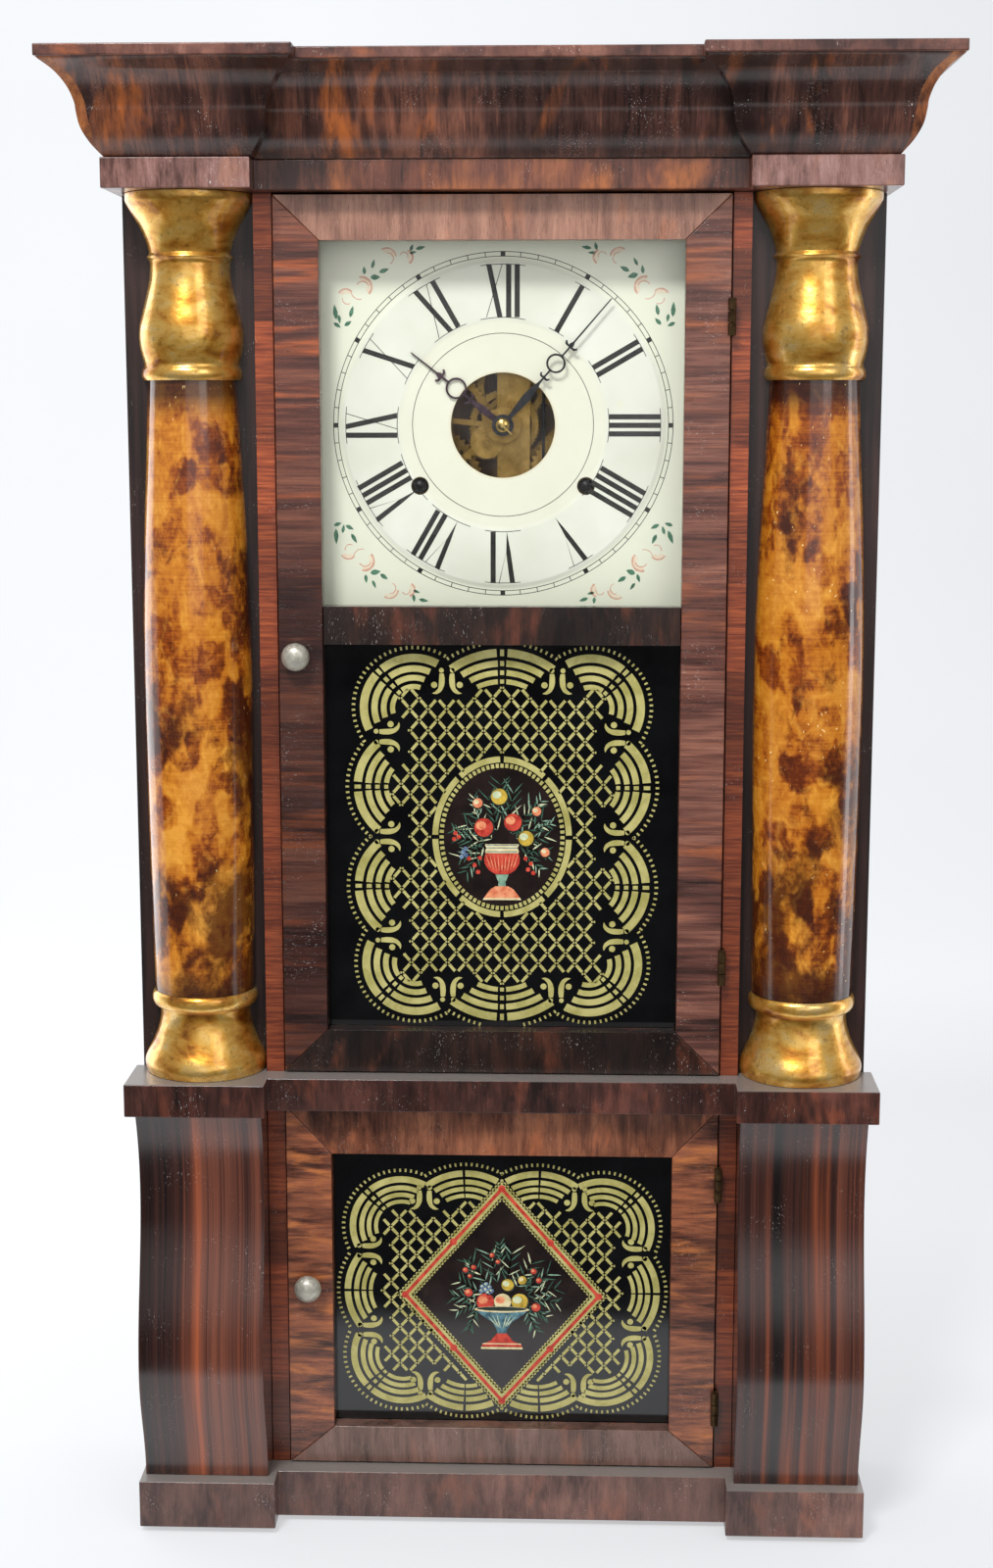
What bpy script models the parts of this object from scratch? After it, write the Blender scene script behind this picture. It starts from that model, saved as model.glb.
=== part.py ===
# Column shelf clock: veneered case with split columns, two doors and a weight-driven brass movement.
# Metres, +Z up, front towards -Y, origin at the middle of the footprint on the standing plane.
import math

import bmesh
import bpy
from mathutils import Matrix, Vector

# Fits
GAP = 0.0003
DOOR_GAP = 0.0009
RUNNING = 0.0004

# Overall case
HEIGHT = 0.826
DEPTH = 0.150
CORNICE_REACH = 0.038
BACK_Y = DEPTH / 2
BLOCK_Y = -DEPTH / 2 + CORNICE_REACH
CASE_HALF = 0.2078
SIDE_THICK = 0.0140
BACK_THICK = 0.0080
BOARD_THICK = 0.0120
BOTTOM_RISE = 0.0060

# Column backing panels, with the door jamb along their inner edge
PANEL_SETBACK = 0.0405
PANEL_THICK = 0.0100
BAY_WIDTH = 0.0728
JAMB_WIDTH = 0.0109
DOOR_HALF = CASE_HALF - BAY_WIDTH - JAMB_WIDTH
JAMB_OUTER = CASE_HALF - BAY_WIDTH
JAMB_STEP = 0.0090
PANEL_Y = BLOCK_Y + PANEL_SETBACK
PANEL_BACK = PANEL_Y + PANEL_THICK
JAMB_Y = PANEL_Y - JAMB_STEP

# Plinth, shelf and frieze: end blocks stand in front of the middle
PLINTH_TOP = 0.0279
PLINTH_HALF = CASE_HALF + 0.0016
PLINTH_INNER = JAMB_OUTER - 0.0047
PLINTH_BREAK = 0.0165
SHELF_BASE = 0.2474
SHELF_TOP = SHELF_BASE + 0.0190
SHELF_HALF = CASE_HALF + 0.0045
SHELF_INNER = JAMB_OUTER - 0.0024
SHELF_BREAK = 0.0151
CORNICE_HEIGHT = 0.0520
FRIEZE_HEIGHT = 0.0163
FRIEZE_BASE = HEIGHT - CORNICE_HEIGHT - FRIEZE_HEIGHT
FRIEZE_TOP = FRIEZE_BASE + FRIEZE_HEIGHT
FRIEZE_HALF = CASE_HALF + 0.0038
FRIEZE_INNER = JAMB_OUTER - 0.0031
FRIEZE_BREAK = 0.0160

# Cornice
CORNICE_FOOT_HALF = CASE_HALF + 0.0019
CORNICE_FLARE = 0.0273
CORNICE_TIP_HALF = CORNICE_FOOT_HALF + CORNICE_FLARE
CORNICE_FOOT_SETBACK = 0.0010
CORNICE_BREAK = 0.0149
CORNICE_FOOT_INNER = FRIEZE_INNER
CORNICE_TIP_INNER = FRIEZE_INNER - 0.0275
CORNICE_PROFILE = [(0.0, 0.0), (0.12, 0.19), (0.26, 0.33), (0.40, 0.385), (0.50, 0.41), (0.64, 0.51),
                   (0.77, 0.69), (0.865, 0.925), (0.92, 1.0), (1.0, 1.0)]

# Ogee pilasters beside the lower door
PILASTER_OUTER = CASE_HALF - 0.0010
PILASTER_INNER = JAMB_OUTER - 0.0004
PILASTER_TOP_SETBACK = 0.0065
PILASTER_HOLLOW_SETBACK = 0.0135
PILASTER_CREST_SETBACK = -0.0050
PILASTER_FOOT_SETBACK = 0.0095
PILASTER_HOLLOW_Z = SHELF_BASE - 0.0454
PILASTER_CREST_Z = PLINTH_TOP + 0.0681
PILASTER_STEPS = 6

# Split columns: radius against height, from the capital's top to the base's foot
COLUMN_X = (JAMB_OUTER + CASE_HALF) / 2 - 0.0004
COLUMN_SECTORS = 22
CAPITAL_RADIUS = 0.0348
CAPITAL_LIP = 0.0030
NECK_RADIUS = 0.0222
NECK_Z = FRIEZE_BASE - 0.0332
VASE_RADIUS = 0.0286
VASE_Z = FRIEZE_BASE - 0.0717
CAPITAL_FOOT_RADIUS = 0.0264
CAPITAL_FOOT_Z = FRIEZE_BASE - 0.0917
COLLAR_RADIUS = 0.0272
COLLAR_Z = FRIEZE_BASE - 0.0967
SHAFT_TOP_RADIUS = 0.0246
SHAFT_BELLY_RADIUS = 0.0304
SHAFT_FOOT_RADIUS = 0.0284
SHAFT_TOP_Z = FRIEZE_BASE - 0.1007
SHAFT_BELLY_Z = FRIEZE_BASE - 0.2577
SHAFT_FOOT_Z = SHELF_TOP + 0.0496
BASE_RING_RADIUS = 0.0300
BASE_RING_Z = SHELF_TOP + 0.0416
BASE_NECK_RADIUS = 0.0258
BASE_NECK_Z = SHELF_TOP + 0.0326
BASE_RADIUS = 0.0350
BASE_BELL_Z = SHELF_TOP + 0.0076

# Doors
DOOR_SETBACK = 0.0280
DOOR_THICK = 0.0180
DOOR_Y = BLOCK_Y + DOOR_SETBACK
DOOR_RISE = 0.0009
UPPER_OPENING_HALF = DOOR_HALF - 0.0248
DIAL_OPENING_TOP = FRIEZE_BASE - 0.0252
DIAL_OPENING_HEIGHT = 0.1984
DIAL_OPENING_BASE = DIAL_OPENING_TOP - DIAL_OPENING_HEIGHT
TABLET_OPENING_TOP = DIAL_OPENING_BASE - 0.0212
TABLET_OPENING_BASE = SHELF_TOP + 0.0254
LOWER_OPENING_HALF = DOOR_HALF - 0.0260
LOWER_OPENING_TOP = SHELF_BASE - 0.0294
LOWER_OPENING_BASE = PLINTH_TOP + 0.0231
REBATE = 0.0040
REBATE_DEPTH = 0.0070
PANE_THICK = 0.0020

# Butt hinges and turn knobs
HINGE_LENGTH = 0.0200
LEAF_WIDTH = 0.0120
LEAF_THICK = 0.0010
KNUCKLE_RADIUS = 0.0022
PIN_RADIUS = 0.0009
HINGE_X = DOOR_HALF + DOOR_GAP / 2
HINGE_Y = DOOR_Y - KNUCKLE_RADIUS - GAP
UPPER_HINGES = (DIAL_OPENING_TOP - 0.0410, TABLET_OPENING_BASE + 0.0388)
LOWER_HINGES = (LOWER_OPENING_TOP - 0.0155, LOWER_OPENING_BASE + 0.0150)
KNOB_RADIUS = 0.0078
KNOB_NECK = 0.0034
KNOB_REACH = 0.0130
SPINDLE_RADIUS = 0.0020
CATCH_LENGTH = 0.0170
CATCH_WIDTH = 0.0070
CATCH_THICK = 0.0015
UPPER_KNOB = (-DOOR_HALF + 0.0101, TABLET_OPENING_TOP - 0.0063)
LOWER_KNOB = (-DOOR_HALF + 0.0121, (LOWER_OPENING_TOP + LOWER_OPENING_BASE) / 2 + 0.0040)

# Dial and hands
DIAL_X = 0.0
DIAL_Z = (DIAL_OPENING_TOP + DIAL_OPENING_BASE) / 2
DIAL_HALF = UPPER_OPENING_HALF + 0.0047
DIAL_HALF_HEIGHT = DIAL_OPENING_HEIGHT / 2 + 0.0053
DIAL_THICK = 0.0008
DIAL_Y = PANEL_BACK + 0.0016
DIAL_APERTURE = 0.0290
WINDING_X = 0.0464
WINDING_DROP = 0.0335
WINDING_HOLE = 0.0050
HAND_THICK = 0.0006
HOUR_HAND_Y = 0.0135
MINUTE_HAND_Y = 0.0108
MINUTE_HAND_LENGTH = 0.0920
MINUTE_RING_AT = 0.0460
MINUTE_ANGLE = 41.0
HOUR_HAND_LENGTH = 0.0660
HOUR_RING_AT = 0.0330
HOUR_ANGLE = 308.0
HAND_RING_RADIUS = 0.0055
HAND_HUB_RADIUS = 0.0062
HAND_BAR = 0.0010
HAND_CROSS_GAP = 0.0045
HAND_CROSS_HALF = 0.0022

# Movement frame
PLATE_THICK = 0.0012
FRONT_PLATE_Y = 0.0260
PLATE_SPACE = 0.0288
BACK_PLATE_Y = FRONT_PLATE_Y + PLATE_THICK + PLATE_SPACE
PLATE_HALF = 0.0720
PLATE_RAIL = 0.0120
STRAP_LEFT = -0.0035
STRAP_RIGHT = 0.0148
SIDE_STRAP_INNER = 0.0300
SIDE_STRAP_OUTER = 0.0530
OUTER_STRAP = 0.0090
COCK_BASE = 0.0270
EAR = 0.0030
PILLAR_RADIUS = 0.0028
PILLAR_INSET = 0.0035
SEAT_THICK = 0.0120
PARTITION_X = 0.0960
PARTITION_THICK = 0.0080
PARTITION_TOP = DIAL_Z + 0.0567

# Arbors, as places from the dial's middle (right, up)
ARBOR_RADIUS = 0.0009
PIVOT_RADIUS = 0.0005
CENTRE = (0.0, 0.0)
TIME_WINDING = (WINDING_X, -WINDING_DROP)
STRIKE_WINDING = (-WINDING_X, -WINDING_DROP)
TIME_SECOND = (0.0350, 0.0030)
STRIKE_SECOND = (-0.0350, 0.0030)
THIRD = (0.0040, 0.0214)
ESCAPE = (0.0225, 0.0336)
MOTION = (-0.0092, -0.0092)
HAMMER = (-0.0580, 0.0300)
SUSPENSION_Z = 0.0660

# Tooth counts
GREAT_TEETH = 56
GREAT_PINS = 8
SECOND_TEETH = 48
SECOND_PINS = 8
STRIKE_SECOND_TEETH = 54
STRIKE_MODULE = 0.0010
CENTRE_TEETH = 54
THIRD_TEETH = 48
TRAIN_PINS = 6
ADDENDUM = 0.8
NARROW_TEETH = ((-0.28, False), (0.0, True), (0.28, False))
DEDENDUM = 1.1
CANNON_TEETH = 12
MINUTE_WHEEL_TEETH = 36
MINUTE_PINION_TEETH = 9
HOUR_WHEEL_TEETH = 36
ESCAPE_TEETH = 36
ESCAPE_RADIUS = 0.0140
PALLET_SPAN = 36.0
PALLET_CLEARANCE = 0.0007

# Wheel layers, front faces
WHEEL_THICK = 0.0015
GREAT_THICK = 0.0018
RIM = 0.0030
SPOKE = 0.0030
HUB_RADIUS = 0.0040
FRONT_LAYER = FRONT_PLATE_Y + PLATE_THICK + 0.0028
CENTRE_LAYER = FRONT_LAYER + 0.0050
THIRD_LAYER = FRONT_LAYER + 0.0100
BACK_LAYER = FRONT_LAYER + 0.0190
HOUR_LAYER = 0.0205
MINUTE_LAYER = 0.0235

# Drums, cords, pulleys and weights
DRUM_RADIUS = 0.0125
DRUM_FLANGE = 0.0160
DRUM_FRONT = FRONT_LAYER + GREAT_THICK + 2 * GAP
DRUM_BACK = BACK_LAYER - 2 * GAP
FLANGE_THICK = 0.0014
DRUM_SECTORS = 12
WINDING_ARBOR = 0.0020
SQUARE = 0.0030
SQUARE_Y = 0.0150
CORD_RADIUS = 0.0006
CORD_Y = (DRUM_FRONT + DRUM_BACK) / 2
PULLEY_X = CASE_HALF - 0.0548
PULLEY_Z = HEIGHT - 0.0200
PULLEY_RADIUS = 0.0145
PULLEY_THICK = 0.0070
AXLE_RADIUS = 0.0015
WEIGHT_WIDTH = 0.0520
WEIGHT_DEPTH = 0.0400
WEIGHT_HEIGHT = 0.1500
WEIGHT_CORNER = 0.0060
WEIGHT_REST_GAP = 0.0015
HOOK_RADIUS = 0.0045
HOOK_WIRE = 0.0012

# Pendulum, hammer and gong
PENDULUM_Y = 0.0215
ROD_RADIUS = 0.0008
PENDULUM_LENGTH = 0.4790
BOB_RADIUS = 0.0230
BOB_THICK = 0.0080
CRUTCH_LENGTH = 0.0400
HAMMER_Y = 0.0535
HAMMER_LENGTH = 0.1600
HAMMER_HEAD = 0.0045
HAMMER_HEAD_LENGTH = 0.0140
GONG = (-0.0110, -0.1300)
GONG_RADIUS = 0.0390
GONG_PITCH = 0.0060
GONG_TURNS = 2
GONG_WIRE = 0.0011
GONG_BLOCK = 0.0045
GONG_FOOT_HALF = 0.0140
GONG_FOOT_RISE = 0.0090
GONG_FOOT_THICK = 0.0030

# How far a cutter runs past the face it cuts
PAST = 0.0100

DEG = math.pi / 180


for stale in list(bpy.data.objects):
    bpy.data.objects.remove(stale, do_unlink=True)

parts = bpy.data.collections.new("column_shelf_clock")
cutters = bpy.data.collections.new("cutters")
bpy.context.scene.collection.children.link(parts)
bpy.context.scene.collection.children.link(cutters)


# Materials
def material(name, colour, roughness, metallic=0.0, transmission=0.0):
    made = bpy.data.materials.new(name)
    made.use_nodes = True
    shader = made.node_tree.nodes["Principled BSDF"]
    shader.inputs["Base Color"].default_value = (*colour, 1.0)
    shader.inputs["Roughness"].default_value = roughness
    shader.inputs["Metallic"].default_value = metallic
    shader.inputs["Transmission Weight"].default_value = transmission
    return made


LOOKS = {
    "veneer": ((0.085, 0.022, 0.014), 0.30),
    "ogee_veneer": ((0.100, 0.028, 0.018), 0.25),
    "panel_black": ((0.018, 0.012, 0.011), 0.45),
    "pine": ((0.42, 0.26, 0.13), 0.75),
    "shell_paint": ((0.42, 0.13, 0.02), 0.22),
    "black_glass": ((0.012, 0.012, 0.012), 0.10),
    "clear_glass": ((0.95, 0.97, 0.95), 0.02, 0.0, 1.0),
    "dial_paint": ((0.78, 0.80, 0.69), 0.45),
    "steel": ((0.10, 0.10, 0.11), 0.35, 1.0),
    "brass": ((0.62, 0.43, 0.15), 0.30, 1.0),
    "pewter": ((0.47, 0.46, 0.43), 0.38, 1.0),
    "iron": ((0.05, 0.048, 0.046), 0.65, 0.6),
    "cord": ((0.36, 0.30, 0.20), 0.90),
    "pulley_wood": ((0.30, 0.18, 0.09), 0.65),
}


# Building blocks
def placed(name, mesh, look, collection=parts):
    made = bpy.data.objects.new(name, mesh)
    collection.objects.link(made)
    if collection is cutters:
        made.hide_render = True
        made.display_type = "WIRE"
        return made
    mesh.materials.clear()
    mesh.materials.append(material(name + "_" + look, *LOOKS[look]))
    return made


def box_mesh(low, high):
    made = bmesh.new()
    bmesh.ops.create_cube(made, size=1.0)
    size = Vector(high) - Vector(low)
    middle = (Vector(high) + Vector(low)) / 2
    bmesh.ops.scale(made, vec=size, verts=made.verts)
    bmesh.ops.translate(made, vec=middle, verts=made.verts)
    mesh = bpy.data.meshes.new("box")
    made.to_mesh(mesh)
    made.free()
    return mesh


def box(name, low, high, look="veneer", collection=parts, bevel=0.0):
    made = placed(name, box_mesh(low, high), look, collection)
    if bevel:
        rounded = made.modifiers.new("edges", "BEVEL")
        rounded.width = bevel
        rounded.segments = 1
    return made


def rod_mesh(start, end, radius, sides=12):
    start, end = Vector(start), Vector(end)
    made = bmesh.new()
    length = (end - start).length
    bmesh.ops.create_cone(made, cap_ends=True, segments=sides, radius1=radius, radius2=radius, depth=length)
    turn = Vector((0, 0, 1)).rotation_difference(end - start).to_matrix().to_4x4()
    bmesh.ops.transform(made, matrix=Matrix.Translation((start + end) / 2) @ turn, verts=made.verts)
    mesh = bpy.data.meshes.new("rod")
    made.to_mesh(mesh)
    made.free()
    return mesh


def prism_mesh(outlines, low, high, plane):
    """Flat outlines, the first the rim and the rest holes, thickened from low to high across plane."""
    curve = bpy.data.curves.new("outline", "CURVE")
    curve.dimensions = "2D"
    curve.fill_mode = "BOTH"
    curve.extrude = (high - low) / 2
    for outline in outlines:
        spline = curve.splines.new("POLY")
        spline.points.add(len(outline) - 1)
        for point, (across, along) in zip(spline.points, outline):
            point.co = (across, along, 0.0, 1.0)
        spline.use_cyclic_u = True
    holder = bpy.data.objects.new("outline", curve)
    bpy.context.scene.collection.objects.link(holder)
    mesh = bpy.data.meshes.new_from_object(holder.evaluated_get(bpy.context.evaluated_depsgraph_get()))
    bpy.data.objects.remove(holder)
    bpy.data.curves.remove(curve)
    made = bmesh.new()
    made.from_mesh(mesh)
    bmesh.ops.remove_doubles(made, verts=made.verts, dist=0.00001)
    middle = (low + high) / 2
    turns = {
        "XY": Matrix.Translation((0, 0, middle)),
        "XZ": Matrix.Translation((0, middle, 0)) @ Matrix.Rotation(math.pi / 2, 4, "X"),
        "YZ": Matrix.Translation((middle, 0, 0)) @ Matrix(((0, 0, 1, 0), (1, 0, 0, 0), (0, 1, 0, 0), (0, 0, 0, 1))),
    }
    bmesh.ops.transform(made, matrix=turns[plane], verts=made.verts)
    bmesh.ops.recalc_face_normals(made, faces=made.faces)
    made.to_mesh(mesh)
    made.free()
    return mesh


def prism(name, outlines, low, high, plane, look, collection=parts):
    return placed(name, prism_mesh(outlines, low, high, plane), look, collection)


def turned(name, profile, axis_at, look, sectors=16, collection=parts, along="Z"):
    """Profile of (radius, height) pairs from top to bottom, closed on the axis and turned about it."""
    mesh = bpy.data.meshes.new("profile")
    made = bmesh.new()
    row = [made.verts.new((max(radius, 0.0), 0.0, height)) for radius, height in profile]
    for upper, lower in zip(row, row[1:]):
        made.edges.new((upper, lower))
    made.to_mesh(mesh)
    made.free()
    body = placed(name, mesh, look, collection)
    body.location = axis_at
    if along == "Y":
        body.rotation_euler = (math.pi / 2, 0, 0)
    lathe = body.modifiers.new("lathe", "SCREW")
    lathe.angle = 2 * math.pi
    lathe.steps = sectors
    lathe.render_steps = sectors
    lathe.use_merge_vertices = True
    lathe.merge_threshold = 0.00005
    lathe.use_smooth_shade = True
    return body


def cut(body, tool, operation="DIFFERENCE"):
    step = body.modifiers.new(operation.lower(), "BOOLEAN")
    step.operation = operation
    step.solver = "EXACT"
    step.object = tool
    return body


def joined(name, meshes, look):
    """One solid from overlapping meshes, each fused to the first by a union."""
    body = placed(name, meshes[0], look)
    for number, mesh in enumerate(meshes[1:]):
        cut(body, placed(f"{name}_piece_{number}", mesh, look, cutters), "UNION")
    return body


def circle(middle, radius, points=12, phase=0.0):
    return [(middle[0] + radius * math.cos(phase + 2 * math.pi * step / points),
             middle[1] + radius * math.sin(phase + 2 * math.pi * step / points)) for step in range(points)]


def rectangle(left, right, base, top):
    return [(left, base), (right, base), (right, top), (left, top)]


def mirrored(half):
    """Closed outline from its right half, listed from one end of the middle line to the other."""
    return half + [(-across, along) for across, along in reversed(half)]


# Case box
def case_box():
    for name, side in (("left_side", -1), ("right_side", 1)):
        inner, outer = sorted((side * (CASE_HALF - SIDE_THICK), side * CASE_HALF))
        box(name, (inner, PANEL_BACK + GAP, 0), (outer, BACK_Y - BACK_THICK - GAP, HEIGHT - BOARD_THICK), "veneer")
    inside = CASE_HALF - SIDE_THICK - GAP
    box("backboard", (-CASE_HALF, BACK_Y - BACK_THICK, 0), (CASE_HALF, BACK_Y, HEIGHT - BOARD_THICK), "pine")
    box("bottom_board", (-inside, PANEL_BACK + GAP, BOTTOM_RISE),
        (inside, BACK_Y - BACK_THICK - GAP, BOTTOM_RISE + BOARD_THICK), "pine")
    top = box("top_board", (-inside, PANEL_BACK + GAP, PULLEY_Z - BOARD_THICK / 2),
              (inside, BACK_Y - BACK_THICK - GAP, PULLEY_Z + BOARD_THICK / 2), "pine")
    for side in (-1, 1):
        slot_x = PULLEY_RADIUS + RUNNING * 3
        run_x = slot_x + DRUM_RADIUS / 2
        slot_y = PULLEY_THICK / 2 + RUNNING * 3
        axle_y = PULLEY_THICK + RUNNING
        groove = AXLE_RADIUS + RUNNING
        middle = side * PULLEY_X
        left, right = sorted((middle - side * run_x, middle + side * slot_x))
        cut(top, box(f"pulley_slot_{side}", (left, CORD_Y - slot_y, PULLEY_Z - BOARD_THICK),
                     (right, CORD_Y + slot_y, PULLEY_Z + BOARD_THICK), collection=cutters))
        cut(top, box(f"axle_groove_{side}", (middle - groove, CORD_Y - axle_y, PULLEY_Z - groove),
                     (middle + groove, CORD_Y + axle_y, PULLEY_Z + BOARD_THICK), collection=cutters))


def backing_panels():
    jamb_inner = DOOR_HALF + DOOR_GAP
    half = [(CASE_HALF, PANEL_Y), (JAMB_OUTER, PANEL_Y), (JAMB_OUTER, JAMB_Y), (jamb_inner, JAMB_Y),
            (jamb_inner, PANEL_BACK), (CASE_HALF, PANEL_BACK)]
    for name, side in (("left_panel", -1), ("right_panel", 1)):
        panel = prism(name, [[(side * across, along) for across, along in half]], 0, FRIEZE_BASE - GAP,
                      "XY", "panel_black")
        if side == -1:
            for number, (across, height) in enumerate((UPPER_KNOB, LOWER_KNOB)):
                reach = across - CATCH_LENGTH - DOOR_GAP
                cut(panel, box(f"catch_mortise_{number}", (reach, DOOR_Y + DOOR_THICK, height - CATCH_LENGTH),
                               (-jamb_inner + PAST, PANEL_BACK + PAST, height + CATCH_LENGTH), collection=cutters))
        if side == 1:
            for number, height in enumerate(UPPER_HINGES + LOWER_HINGES):
                mortise = HINGE_LENGTH / 2 + GAP
                cut(panel, box(f"jamb_mortise_{number}", (jamb_inner - DOOR_GAP, JAMB_Y - PAST, height - mortise),
                               (HINGE_X + GAP + LEAF_THICK + GAP, HINGE_Y + LEAF_WIDTH + GAP, height + mortise),
                               collection=cutters))


def stepped_member(name, half, inner, setback, base, top):
    """Plinth or shelf: end blocks forward of the middle, notched at the back round the door jambs."""
    jamb_inner = DOOR_HALF + DOOR_GAP - GAP
    outline = [(jamb_inner, PANEL_BACK), (jamb_inner, JAMB_Y - GAP), (JAMB_OUTER + GAP, JAMB_Y - GAP),
               (JAMB_OUTER + GAP, PANEL_Y - GAP), (half, PANEL_Y - GAP), (half, BLOCK_Y), (inner, BLOCK_Y),
               (inner, BLOCK_Y + setback)]
    prism(name, [mirrored(outline)], base, top, "XY", "veneer")


def frieze():
    inner = CASE_HALF + GAP
    outline = [(inner, PANEL_BACK), (inner, BACK_Y), (FRIEZE_HALF, BACK_Y), (FRIEZE_HALF, BLOCK_Y),
               (FRIEZE_INNER, BLOCK_Y), (FRIEZE_INNER, BLOCK_Y + FRIEZE_BREAK)]
    prism("frieze", [mirrored(outline)], FRIEZE_BASE, FRIEZE_TOP - GAP, "XY", "veneer")


def cornice():
    """Mitred moulding lofted up its profile round the front, the breaks and both ends."""
    made = bmesh.new()
    inner = CASE_HALF + GAP
    rings = []
    for rise, flare in CORNICE_PROFILE:
        height = FRIEZE_TOP + rise * (HEIGHT - FRIEZE_TOP)
        side = CORNICE_FOOT_HALF + flare * (CORNICE_TIP_HALF - CORNICE_FOOT_HALF)
        front = BLOCK_Y + CORNICE_FOOT_SETBACK - flare * (CORNICE_REACH + CORNICE_FOOT_SETBACK)
        turn = CORNICE_FOOT_INNER + flare * (CORNICE_TIP_INNER - CORNICE_FOOT_INNER)
        outline = [(inner, PANEL_BACK), (inner, BACK_Y), (side, BACK_Y), (side, front), (turn, front),
                   (turn, front + CORNICE_BREAK)]
        rings.append([made.verts.new((across, along, height)) for across, along in mirrored(outline)])
    for lower, upper in zip(rings, rings[1:]):
        for start in range(len(lower)):
            after = (start + 1) % len(lower)
            made.faces.new((lower[start], lower[after], upper[after], upper[start]))
    made.faces.new(rings[0])
    made.faces.new(rings[-1])
    bmesh.ops.recalc_face_normals(made, faces=made.faces)
    bmesh.ops.triangulate(made, faces=made.faces)
    mesh = bpy.data.meshes.new("cornice")
    made.to_mesh(mesh)
    made.free()
    placed("cornice", mesh, "veneer")


def ease(start, end, steps):
    """Half a wave from one (setback, height) pair to the next."""
    for step in range(steps):
        share = step / steps
        swing = (1 - math.cos(math.pi * share)) / 2
        yield (start[0] + (end[0] - start[0]) * swing, start[1] + (end[1] - start[1]) * share)


def pilasters():
    stops = [(PILASTER_TOP_SETBACK, SHELF_BASE - GAP), (PILASTER_HOLLOW_SETBACK, PILASTER_HOLLOW_Z),
             (PILASTER_CREST_SETBACK, PILASTER_CREST_Z), (PILASTER_FOOT_SETBACK, PLINTH_TOP + GAP)]
    front = []
    for start, end in zip(stops, stops[1:]):
        front += list(ease(start, end, PILASTER_STEPS))
    front.append(stops[-1])
    outline = [(BLOCK_Y + setback, height) for setback, height in front]
    outline += [(PANEL_Y - GAP, stops[-1][1]), (PANEL_Y - GAP, stops[0][1])]
    inner = max(PILASTER_INNER, JAMB_OUTER + GAP)
    prism("left_pilaster", [outline], -PILASTER_OUTER, -inner, "YZ", "ogee_veneer")
    prism("right_pilaster", [outline], inner, PILASTER_OUTER, "YZ", "ogee_veneer")


def column_profile():
    top = FRIEZE_BASE - GAP
    foot = SHELF_TOP + GAP
    capital = [(0, top), (CAPITAL_RADIUS, top), (CAPITAL_RADIUS, top - CAPITAL_LIP)]
    throat = [(NECK_RADIUS + (CAPITAL_RADIUS - NECK_RADIUS) * (1 - share) ** 2.2,
               top - CAPITAL_LIP - share * (top - CAPITAL_LIP - NECK_Z)) for share in (0.15, 0.35, 0.6, 1.0)]
    bead = [(NECK_RADIUS + 0.0014, NECK_Z - 0.0012), (NECK_RADIUS, NECK_Z - 0.0032)]
    vase = list(ease((NECK_RADIUS - 0.0004, NECK_Z - 0.0080), (VASE_RADIUS, VASE_Z), 3))
    vase += list(ease((VASE_RADIUS, VASE_Z), (CAPITAL_FOOT_RADIUS, CAPITAL_FOOT_Z), 2))
    collar = [(CAPITAL_FOOT_RADIUS, CAPITAL_FOOT_Z), (COLLAR_RADIUS, COLLAR_Z + 0.0020),
              (COLLAR_RADIUS, COLLAR_Z - 0.0020)]
    shaft = list(ease((SHAFT_TOP_RADIUS, SHAFT_TOP_Z), (SHAFT_BELLY_RADIUS, SHAFT_BELLY_Z), 4))
    shaft += list(ease((SHAFT_BELLY_RADIUS, SHAFT_BELLY_Z), (SHAFT_FOOT_RADIUS, SHAFT_FOOT_Z), 3))
    ring = [(SHAFT_FOOT_RADIUS, SHAFT_FOOT_Z), (BASE_RING_RADIUS, BASE_RING_Z + 0.0030),
            (BASE_RING_RADIUS, BASE_RING_Z - 0.0030), (BASE_NECK_RADIUS, BASE_NECK_Z)]
    bell = [(BASE_NECK_RADIUS + (BASE_RADIUS - BASE_NECK_RADIUS) * share ** 1.6,
             BASE_NECK_Z - share * (BASE_NECK_Z - BASE_BELL_Z)) for share in (0.35, 0.7, 1.0)]
    return capital + throat + bead + vase + collar + shaft + ring + bell + [(BASE_RADIUS - 0.001, foot), (0, foot)]


def columns():
    behind = box("behind_columns", (-CASE_HALF - PAST, PANEL_Y - GAP, 0), (CASE_HALF + PAST, BACK_Y, HEIGHT),
                 collection=cutters)
    for name, side in (("left_column", -1), ("right_column", 1)):
        column = turned(name, column_profile(), (side * COLUMN_X, PANEL_Y - GAP, 0), "shell_paint", COLUMN_SECTORS)
        cut(column, behind)


# Doors
def door_frame(name, half, base, top, openings, hinges):
    frame = prism(name, [rectangle(-half, half, base, top)] + [rectangle(*opening) for opening in openings],
                  DOOR_Y, DOOR_Y + DOOR_THICK, "XZ", "veneer")
    for number, (left, right, low, high) in enumerate(openings):
        cut(frame, box(f"{name}_rebate_{number}",
                       (left - REBATE, DOOR_Y + DOOR_THICK - REBATE_DEPTH, low - REBATE),
                       (right + REBATE, DOOR_Y + DOOR_THICK + PAST, high + REBATE), collection=cutters))
    for number, height in enumerate(hinges):
        mortise = HINGE_LENGTH / 2 + GAP
        cut(frame, box(f"{name}_mortise_{number}",
                       (HINGE_X - 2 * GAP - LEAF_THICK, DOOR_Y - PAST, height - mortise),
                       (half + PAST, HINGE_Y + LEAF_WIDTH + GAP, height + mortise), collection=cutters))
    return frame


def pane(name, opening, look):
    left, right, low, high = opening
    face = DOOR_Y + DOOR_THICK - REBATE_DEPTH + GAP
    edge = REBATE - GAP
    box(name, (left - edge, face, low - edge), (right + edge, face + PANE_THICK, high + edge), look)


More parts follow.
